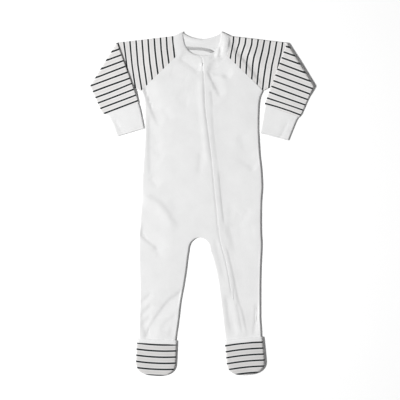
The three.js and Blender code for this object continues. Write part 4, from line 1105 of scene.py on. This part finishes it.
tooth_y = np.arange(TAPE["end"] + TEETH["inset"], TAPE["top"] - TEETH["inset"], TEETH["pitch"])
tooth_x = zip_x(tooth_y) + flap_past(tooth_y) + TEETH["start"]
tooth_z = tape_z(tooth_x, tooth_y) + TAPE["wall"] / 2 + TEETH["lift"]
teeth = np.stack([tooth_x, tooth_y, tooth_z], axis=1)
tooth_form, tooth_faces = tube_form([(-1.5, 0), (-1.2, 0.04), (1.2, 0.04), (1.5, 0)],
                                    [0.12, 0.22, 0.22, 0.12], 6)
tooth_frames = frames_along(teeth, np.tile([0.0, 0.0, 1.0], (len(teeth), 1)))[:, [1, 0, 2]]
tooth_frames[:, 1] *= -1
repeated("zip_teeth", tooth_form, tooth_faces, teeth, tooth_frames, satin_plastic)


def slider_tab():
    """The tab that shows: a rounded plate with a raised rim."""
    half, long, corner, wall, x0, y0 = SLIDER.values()
    angle = np.linspace(-math.pi / 2, 0, 7)
    arc = [(half - corner + corner * math.cos(a), corner + corner * math.sin(a)) for a in angle]
    right = arc + [(x, long - y) for x, y in reversed(arc)]
    outline = np.array(right + [(-x, y) for x, y in reversed(right)])
    middle = np.array([0, long / 2])
    # Shares of the outline's size, with shares of the wall's height
    rings = [(0.93, 0.0), (1.0, 0.75), (0.95, 0.93), (0.86, 1.0), (0.72, 1.0), (0.62, 0.8), (0.3, 0.8)]
    z0 = float(front_z(x0, y0)) + BAND / 2 + SEAM_GAP
    form = bmesh.new()
    loops = []
    for share, height in rings:
        ring = middle + (outline - middle) * share
        loops.append([form.verts.new(Vector((x0 + x, y0 + y, z0 + wall * height)) * MM) for x, y in ring])
    count = len(outline)
    form.faces.new(list(reversed(loops[0])))
    for low, high in zip(loops, loops[1:]):
        for k in range(count):
            form.faces.new([low[k], low[(k + 1) % count], high[(k + 1) % count], high[k]])
    form.faces.new(loops[-1])
    mesh = bpy.data.meshes.new("zip_slider_tab")
    form.to_mesh(mesh)
    form.free()
    attached("zip_slider_tab", mesh, satin_plastic, ["zip_slider"])


slider_tab()


# Neckband

def neckband():
    """One strip from the zip round the back of the neck to the flap, its right end over its left one."""
    turns = {face: angle_of_drop(face, SHOULDER_DROPS) for face in ("front", "back")}
    front, back = (np.concatenate([turns[face][:-1], np.linspace(turns[face][-1], math.pi / 2, count)])
                   for face, count in (("front", 70), ("back", 40)))
    front, quarter = -front, np.concatenate([back[::-1], [0]])
    reach = BAND_OVER["level"] + BAND_OVER["fall"] + 5
    right = np.concatenate([quarter, front[neck_point(NECK["seam"], front)[0] > reach]])[::-1]
    left = math.pi - np.concatenate([quarter, front])
    at_neck = float(flap_past(neck_front_y))
    flap_side = np.linspace(at_neck, FLAP["width"] + SEAM_GAP, 10)
    past_line = np.linspace(0, at_neck + MAIN_UNDER_FLAP, 4)
    lap_share = BAND_LAP["over"] / (NECK["seam"]["front"][0] - NECK["rim"]["front"][0])
    shares = np.concatenate([[-lap_share], np.linspace(0, 1, 22)[1:]])
    rows = []
    for v in shares:
        def plan(angle):
            seam, rim = neck_point(NECK["seam"], angle), neck_point(NECK["rim"], angle)
            return [mix(a, b, v) for a, b in zip(seam, rim)]

        zip_level = float(plan(-math.pi / 2)[1])

        def at_zip(past):
            x = zip_x(zip_level) + past
            return x, zip_level + (neck_seam_y(x, "front") - neck_front_y) * (1 - v), 40 + 0 * x

        parts = [
            (*at_zip(flap_side), True, 1), (*plan(right), right < 0, np.where(right < 0, 1, 0)),
            (*plan(left[1:]), left[1:] > math.pi, 0), (*at_zip(past_line), True, 0),
        ]
        row = []
        for x, y, drop, is_front, over in parts:
            flush = front_z(x, y) + (CLOTH - BAND) / 2 + BAND_LAP["above"]
            level = mix(flush, mix(BAND_Z["seam"], BAND_Z["rim"], v), smooth(v / 0.8))
            share = smooth((x - zip_x(y) - BAND_OVER["level"]) / BAND_OVER["fall"])
            raised = over * BAND_OVER["raise"] * (1 - share)
            from_rim = BAND_WIDTH * (1 - v)
            level = level + 0.25 * math.sin(math.pi * v) ** 2
            level = level - BAND_ROLL["drop"] * (1 - rolled(from_rim, BAND_ROLL["reach"]))
            level = level + relief(x, y) * smooth(v / 0.8) * smooth((1 - v) / 0.15)
            bump = BAND_BUMP["rise"] * smooth(v / 0.26) * (1 - smooth((v - 0.45) / 0.55))
            level = level + bump * bell((y - BAND_BUMP["y"]) / BAND_BUMP["reach"]) * (x > BAND_BUMP["from_x"])
            lowest = CLOTH + BAND / 2 + SEAM_GAP
            dip = np.maximum(groove(x, y), np.minimum(0, lowest - level)) * ((over == 0) & is_front)
            rim = BACK_RIM["rise"] * smooth((v - 0.5) / 0.35)
            rim = rim - BACK_RIM["drop"] * (1 - rolled(from_rim, BACK_RIM["reach"]))
            lift = BACK_BAND["lift"] * smooth((1 - v) / 0.4) * rolled(drop, BACK_BAND["lift_drop"])
            behind = BAND / 2 + lift + rim * rolled(drop, BACK_BAND["rim_drop"])
            flat = np.where(is_front, level, behind)
            middle = mix(flush, BAND / 2 + BAND_Z["rim"] / 2, v)
            turn = np.where(x > 0, BAND_TURN["right"], BAND_TURN["left"])
            z = mix(np.minimum(middle, BAND_TURN["most"]), flat, rolled(drop, turn)) + raised + dip
            row.append(np.stack([x, y, z], axis=1))
        rows.append(np.vstack(row))
    rows = np.array(rows)
    along = run_of(rows[len(rows) // 2])
    cuts = [np.stack([along, np.full(len(along), BAND_WIDTH * v)], axis=1) for v in shares]
    return Sheet().grid(rows, np.array(cuts), turned=True)


cloth("neckband", neckband(), BAND, white_band,
      free=lambda u, v: (v > BAND_WIDTH - 0.5) | (u < 0.5))


# Sleeves

fall, fold_turn = SLEEVE["fall"], SLEEVE["fold_turn"]
sleeve_along = np.array([-math.cos(fall), -math.sin(fall)])
sleeve_down = np.array([math.sin(fall), -math.cos(fall)])
shoulder = np.array([-NECK["seam"]["half"], NECK["seam"]["y"]])
fold_radius = SLEEVE["axis_z"] - mix(BACK_Z, SEAM_Z, SLEEVE["flat"])
fold_normal = np.array([math.sin(fold_turn), -math.cos(fold_turn)])
FOLD_ARC = math.pi / 2 * fold_radius


def to_sleeve(x, y):
    off = np.stack([np.asarray(x, float) - shoulder[0], np.asarray(y, float) - shoulder[1]], axis=-1)
    return off @ sleeve_along, off @ sleeve_down


def past_fold(s, w):
    return (s - SLEEVE["fold_s"]) * fold_normal[0] + w * fold_normal[1]


def sleeve_start(face):
    """Where the sleeve starts at each w: along the neck seam, then down the raglan seam."""
    sign = -1 if face == "front" else 1
    angles = np.linspace(0, 1, 30) ** 2 * raglan_angle(face)
    x, y, _ = neck_point(NECK["seam"], math.pi - sign * angles)
    s, w = to_sleeve(np.append(x, -ARMPIT[0]), np.append(y, ARMPIT[1]))
    return w, s


STARTS = {face: sleeve_start(face) for face in ("front", "back")}


def start_at(face, w):
    rule = SLEEVE_START
    more = (rule["at_top"] * smooth(1 - w / rule["top_reach"])
            + rule["at_underarm"] * smooth((w - rule["underarm_from"]) / rule["underarm_reach"]))
    return float(np.interp(w, *STARTS[face])) + rule["gap"] + float(more)


def sleeve_point(side, s, w, z):
    """A point of the sleeve's plane, at a height in the flattened tube, once it is folded and laid down."""
    flattened = smooth((s - SLEEVE["flat_from"]) / SLEEVE["flat_over"])
    z = BACK_Z + (z - BACK_Z) * mix(1, SLEEVE["flat"], flattened)
    radius = SLEEVE["axis_z"] - z
    start = -FOLD_ARC
    d = past_fold(s, w)
    angle = np.clip((d - start) / fold_radius, 0, math.pi)
    beyond = np.maximum(0, d - start - math.pi * fold_radius)
    bent = np.where(d <= start, d, start + radius * np.sin(angle) - beyond)
    fs, fw = s + (bent - d) * fold_normal[0], w + (bent - d) * fold_normal[1]
    fz = np.where(d <= start, z, SLEEVE["axis_z"] - radius * np.cos(angle))
    down = SLEEVE["drop"] * smooth((fw - sleeve_width[side](fs)) / SLEEVE["drop_over"]) * angle / math.pi
    x = shoulder[0] + fs * sleeve_along[0] + fw * sleeve_down[0]
    y = shoulder[1] + fs * sleeve_along[1] + fw * sleeve_down[1]
    return np.stack([x, y, fz - down], axis=-1)


def tube_ring(columns, radius):
    """The nodes round a flattened tube, from the underarm over the front to the top and back below: kinds,
    places, and whether each is on the front (1), behind (-1) or between."""
    turn = np.linspace(0, math.pi, 9)[1:-1]
    ring = [("under", radius * (1 - math.sin(a)), -math.cos(a)) for a in turn]
    ring += [("share", share, 1.0) for share in np.linspace(1, 0, columns)]
    ring += [("top", radius * (1 - math.sin(a)), math.cos(a)) for a in turn]
    ring += [("share", share, -1.0) for share in np.linspace(0, 1, columns)]
    return ring + ring[:1]


def ring_girths(lines, ring, radius):
    """How far round the tube each node is, at its start."""
    return run_of([(w[0], node[2] * radius) for w, node in zip(lines, ring)])


def ring_w(node, top, under, radius):
    kind, value, _ = node
    if kind == "under":
        return under - value
    if kind == "top":
        return top + value
    return mix(top + radius, under - radius, value)


def stripe_phase(side, face, s, w):
    """Which stripe a point of the sleeve is at: a whole number in the middle of one."""
    places, rows = STRIPES[side][face]
    numbers = np.arange(len(rows), dtype=float)
    if face == "back":
        rows = rows[::-1]
        numbers += BACK_STRIPES_FROM[side]
    at = np.array([np.interp(w, places, row) for row in rows])
    inside = np.array([np.interp(here, column, numbers) for here, column in zip(s, at.T)])
    before, after = (s - at[0]) / SLEEVE_PITCH, (s - at[-1]) / SLEEVE_PITCH
    return np.where(s < at[0], numbers[0] + before, np.where(s > at[-1], numbers[-1] + after, inside))


def sleeve(side):
    flip = 1 if side == "left" else -1
    end = SLEEVE_END[side]
    ring = tube_ring(44, ROLL)
    lines, across_it, down_it, phases = [], [], [], []
    for node in ring:
        face = "front" if node[2] > 0 else "back"

        def w_at(s):
            return ring_w(node, 0, sleeve_width[side](s), ROLL)

        def solve(distance):
            s = SLEEVE["fold_s"]
            for _ in range(8):
                s = SLEEVE["fold_s"] + (distance - w_at(s) * fold_normal[1]) / fold_normal[0]
            return float(s)

        start, fold_from, fold_to = start_at(face, float(w_at(0))), solve(-FOLD_ARC), solve(FOLD_ARC)
        s = np.concatenate([np.linspace(start, fold_from, 52)[:-1], np.linspace(fold_from, fold_to, 12)[:-1],
                            np.linspace(fold_to, end, 56)])
        w = w_at(s) + 0 * s
        edge = np.minimum(w, sleeve_width[side](s) - w)
        folded = smooth((past_fold(s, w) + FOLD_ARC) / (2 * FOLD_ARC))
        level = np.zeros_like(s)
        if node[2] == 1:
            x, y = (shoulder[k] + s * sleeve_along[k] + w * sleeve_down[k] for k in (0, 1))
            creases = relief(flip * x, y) * smooth((edge - ROLL) / 5)
            level = (crown(edge, sleeve_crown(s)) + creases) * (1 - folded)
        elif node[2] == -1:
            uneven = 0.2 * np.sin(s / 13 + 2 * flip) * np.sin(w / 11 + s / 30)
            uneven += 0.15 * np.sin(s / 6.1 - w / 17)
            level = -(crown(edge, FOREARM_CROWN) + uneven * smooth((edge - ROLL) / 8)) * folded
        points = sleeve_point(side, s, w, SEAM_Z + ROLL * node[2] + level)
        lines.append(points * [flip, 1, 1])
        across_it.append(w)
        down_it.append(s)
        hidden = smooth((s - SLEEVE["flat_from"]) / 60)
        front, rear = (stripe_phase(side, name, s, w) for name in ("front", "back"))
        phases.append(front if face == "front" else mix(front, rear, hidden))
    girths, down_it = ring_girths(across_it, ring, ROLL), np.array(down_it)
    cuts = [girths[:, None] * sleeve_width[side](down_it) / sleeve_width[side](0), down_it]
    return Sheet().grid(np.array(lines), np.stack(cuts, axis=-1), np.array(phases), turned=side == "right")


def cuff(side):
    flip = 1 if side == "left" else -1
    start, end = SLEEVE_END[side] + CUFF["gap"], CUFF_END[side]
    ring = tube_ring(34, CUFF["roll"])
    long = end["s"] - start
    hem = long - CUFF["hem"]
    past = np.concatenate([np.linspace(0, hem, 24), np.linspace(hem, long, 13)[1:]])
    top, under = (edge(past) for edge in cuff_edges[side])
    lines, across_it = [], []
    for node in ring:
        w = ring_w(node, top, under, CUFF["roll"]) + 0 * past
        s = start + past + end["slant"] * past / long * (0.5 - (w - top) / (under - top))
        z = SEAM_Z + CUFF["roll"] * node[2]
        if node[2] == -1:
            edge, from_hem = np.minimum(w - top, under - w), long - past
            sewn, hollow, crease = CUFF_DENTS.values()
            dent = sewn["depth"] * bell((from_hem - sewn["from_hem"]) / sewn["reach"])
            beyond = smooth((w - hollow["from_w"]) / hollow["fade"])
            dent = dent + hollow["depth"] * bell((from_hem - hollow["from_hem"]) / hollow["reach"]) * beyond
            off = w - crease["w"] + (past - CUFF["hem"]) * crease["slant"]
            below = smooth((past - crease["from_start"]) / crease["fade"])
            dent = dent + crease["depth"] * bell(off / crease["reach"]) * below
            level = crown(edge, CUFF["crown"]) - dent * smooth((edge - 1) / 3)
            z = z - level
        lines.append(sleeve_point(side, s, w, z + 0 * s) * [flip, 1, 1])
        across_it.append(w)
    u, v = np.meshgrid(ring_girths(across_it, ring, CUFF["roll"]), past, indexing="ij")
    return Sheet().grid(np.array(lines), np.stack([u, v], axis=-1), turned=side == "right")


# Feet

def foot_outline(foot, start_v, count=34):
    half, power, toe = foot["width"] / 2, FOOT["toe_power"], FOOT["toe"]
    straight = np.linspace(start_v, foot["length"] - toe, 22)[:-1]
    angle = np.linspace(0, 1, count) * math.pi / 2
    side = np.vstack([
        np.stack([np.full(len(straight), half), straight], axis=1),
        np.stack([half * np.cos(angle) ** (2 / power),
                  foot["length"] - toe * (1 - np.sin(angle) ** (2 / power))], axis=1),
    ])
    return np.vstack([side * [-1, 1], side[:-1][::-1]])


def foot_world(foot, u, v, z):
    c, s = math.cos(foot["turn"]), math.sin(foot["turn"])
    return np.stack([foot["x"] + u * c + v * s, foot["y"] + u * s - v * c, z], axis=-1)


def foot_seam_z(foot):
    return BACK_Z + foot["roll"]


def foot_z(foot, line, u, v, over):
    d = distance_to(line, u, v)
    turn = (foot["roll"] - SEAM_GAP / 2) * rolled(d, foot["roll"]) + SEAM_GAP / 2
    rise = 0.0
    if over > 0:
        uneven = 0.22 * np.sin(u / 9 + 0.8) * np.sin(v / 12) * smooth(d / 10)
        rise = FOOT["crown"] * (1 - np.exp(-d / FOOT["crown_reach"])) + uneven
    return foot_seam_z(foot) + over * turn + rise


def foot_phase(side, u, v):
    """Which stripe a point of a foot is at."""
    rule, half = FOOT_STRIPES[side], FEET[side]["width"] / 2
    rise = rule["bow"] * (0.35 - (u / half) ** 2)
    return (v - rise - rule["first"]) / rule["pitch"]


def foot_panel(side, start_v, over):
    foot = FEET[side]
    outline, whole = foot_outline(foot, start_v), foot_outline(foot, 0)
    spine_end = foot["length"] - foot["width"] * FOOT["spine"]
    cuts = []
    for u, v in outline:
        root = np.array([0, min(v, spine_end)])
        long = math.hypot(u, v - root[1])
        shares = np.concatenate([roll_columns(foot["roll"], 8) / long, np.linspace(0, 1, 21)[2:]])
        shares = np.unique(np.round(shares, 6))
        even = np.interp(np.linspace(0, 1, 27), np.linspace(0, 1, len(shares)), shares)
        cuts.append(between((u, v), root, even))
    cuts = np.array(cuts)
    u, v = cuts[..., 0], cuts[..., 1]
    points = foot_world(foot, u, v, foot_z(foot, whole, u, v, over))
    return Sheet().grid(points, cuts, foot_phase(side, u, v))


def foot_binding(side):
    foot = FEET[side]
    whole, half = foot_outline(foot, 0), foot["width"] / 2
    edge = half - np.concatenate([roll_columns(foot["roll"], 8), np.linspace(foot["roll"], half, 20)[1:]])
    across_mouth = np.concatenate([-edge, edge[::-1][1:]])
    u, v = np.meshgrid(across_mouth, np.linspace(FOOT["binding"], 0, 10))
    pillow = BINDING["rise"] * np.sin(math.pi * np.clip(v / FOOT["binding"], 0, 1)) ** BINDING["power"]
    sewn = BINDING["groove"] * bell((v - BINDING["seam_v"]) / BINDING["reach"])
    inside = smooth((half - np.abs(u)) / BINDING["fade"])
    points = foot_world(foot, u, v, foot_z(foot, whole, u, v, 1) + (pillow - sewn) * inside)
    return Sheet().grid(points, np.stack([u, v], axis=-1))


for side in ("left", "right"):
    seam_z = foot_seam_z(FEET[side])
    cloth(f"sleeve_{side}", sleeve(side), CLOTH, striped_knit)
    cloth(f"cuff_{side}", cuff(side), RIB, white_rib,
          free=lambda u, v, end=CUFF_END[side]["s"] - SLEEVE_END[side]: v > end - 1)
    cloth(f"foot_sole_{side}", foot_panel(side, 0, -1), CLOTH, foot_knit_painted_shade, level_at=seam_z)
    cloth(f"foot_cover_{side}", foot_panel(side, FOOT["binding"] + SEAM_GAP, 1), CLOTH, foot_knit_painted_shade,
          level_at=seam_z)
    cloth(f"foot_binding_{side}", foot_binding(side), CLOTH, binding_knit,
          level_at=seam_z, least=0.015, free=lambda u, v: v < 1)


# Stitching

def neck_row(low, high, face_sign, out):
    """Points beside the neck seam of the front, set out from it."""
    angle = -np.linspace(low, high, 90)
    x, y, _ = neck_point(NECK["seam"], angle)
    line = np.stack([face_sign * x, y], axis=1)
    normals = normals_of(line)
    outward = np.sign((normals * (line - [0, 300])).sum(axis=1))[:, None]
    return line + normals * outward * out


def overlock():
    """The loops that bind the seam inside the back of the neck. Their grey paints the shade that lies along
    that seam.
    """
    line = spline(OVERLOCK_LINE)
    lengths = run_of(line)
    at = np.arange(0, lengths[-1], OVERLOCK["pitch"])
    x, y = (np.interp(at, lengths, line[:, k]) for k in (0, 1))
    places = np.stack([x, y, np.full(len(x), BAND + OVERLOCK["lift"])], axis=1)
    ways = ways_of(places)
    up = np.tile([0.0, 0.0, 1.0], (len(x), 1))
    turns = np.where(np.arange(len(x)) % 2, 1, -1)[:, None]
    slanted = np.cross(up, ways) + OVERLOCK["slant"] * ways * turns
    form, faces = thread_form(OVERLOCK["width"], OVERLOCK["radius"], 0.8, (-0.3, 0.1, 0.2))
    frames = np.stack([slanted, -ways, up], axis=1)
    repeated("stitches_back_neck", form, faces, places, frames, overlock_thread_painted_shade)


overlock()
seam_angles = (float(raglan_angle("front")) + 0.06, math.pi / 2)
left_row, right_row = (neck_row(*seam_angles, sign, 1.7) for sign in (-1, 1))
right_row = right_row[right_row[:, 0] > flap_right(neck_front_y) + 2.5]
stitched("stitches_neck_left", left_row, front_z, CLOTH / 2)
stitched("stitches_neck_right", right_row, side_front_z, CLOTH / 2)
for name, high, low, count, beside in (
    ("stitches_flap_seam", neck_front_y - 4, FLAP["end"] + FLAP["taper"] + 4, 200, 2.2),
    ("stitches_low_seam", FLAP["end"] - 3, -250, 60, 1.9),
):
    levels = np.linspace(high, low, count)
    plan = np.stack([flap_right(levels) + beside, levels], axis=1)
    stitched(name, plan, side_front_z, CLOTH / 2)

for side in ("left", "right"):
    foot = FEET[side]
    whole = foot_outline(foot, 0)
    ends = foot["width"] / 2 - 3.5
    plan = foot_world(foot, np.linspace(-ends, ends, 60), np.full(60, BINDING["seam_v"]), np.zeros(60))[:, :2]

    def binding_z(x, y, foot=foot, whole=whole):
        c, s = math.cos(foot["turn"]), math.sin(foot["turn"])
        dx, dy = x - foot["x"], y - foot["y"]
        u, v = dx * c + dy * s, dx * s - dy * c
        return foot_z(foot, whole, u, v, 1)

    stitched(f"stitches_binding_{side}", plan, binding_z, CLOTH / 2)


# Floor and lights: FLOOR and the lights' widths are in metres

FLOOR = {"half": 6, "z": -0.0005}
LIGHTS = [("key", KEY, 0.3, 12.4), ("overhead", (100, 100, 2600), 1.6, 0.6)]
ALL_ROUND_LIGHT = 0.13


def floor():
    mesh = bpy.data.meshes.new("floor")
    signs = [(-1, -1), (1, -1), (1, 1), (-1, 1)]
    corners = [(FLOOR["half"] * a, FLOOR["half"] * b, FLOOR["z"]) for a, b in signs]
    mesh.from_pydata(corners, [], [(0, 1, 2, 3)])
    g = Graph("pale_floor", roughness=0.9, sheen=0.0, specular=0.1)
    place = g.node("ShaderNodeTexCoord").outputs["Object"]
    tone = g.noise(place, 14, 2.0)
    mesh.materials.append(g.finish(g.blend(tone, grey(0.965), grey(0.975)), g.bump(tone, 0.0002, 0.1)))
    linked("floor", mesh)


def softbox(name, place, width, strength):
    """A round light at a place in millimetres that shines as evenly over the garment as a far one would."""
    data = bpy.data.lights.new(name, "AREA")
    data.shape, data.size = "DISK", width
    data.energy = 1.0
    data.use_nodes = True
    nodes, links = data.node_tree.nodes, data.node_tree.links
    even = nodes.new("ShaderNodeLightFalloff")
    even.inputs["Strength"].default_value = strength
    links.new(even.outputs["Constant"], nodes["Emission"].inputs["Strength"])
    lamp = linked(name, data)
    lamp.location = Vector(place) * MM
    lamp.rotation_euler = (-lamp.location).to_track_quat("-Z", "Y").to_euler()


floor()
for light in LIGHTS:
    softbox(*light)
world = bpy.data.worlds.new("studio")
world.use_nodes = True
background = world.node_tree.nodes["Background"]
background.inputs["Color"].default_value = (1, 1, 1, 1)
background.inputs["Strength"].default_value = ALL_ROUND_LIGHT
scene = bpy.context.scene
scene.world = world
scene.view_settings.view_transform = "Standard"
scene.view_settings.look = "None"
scene.view_settings.exposure = 0.0
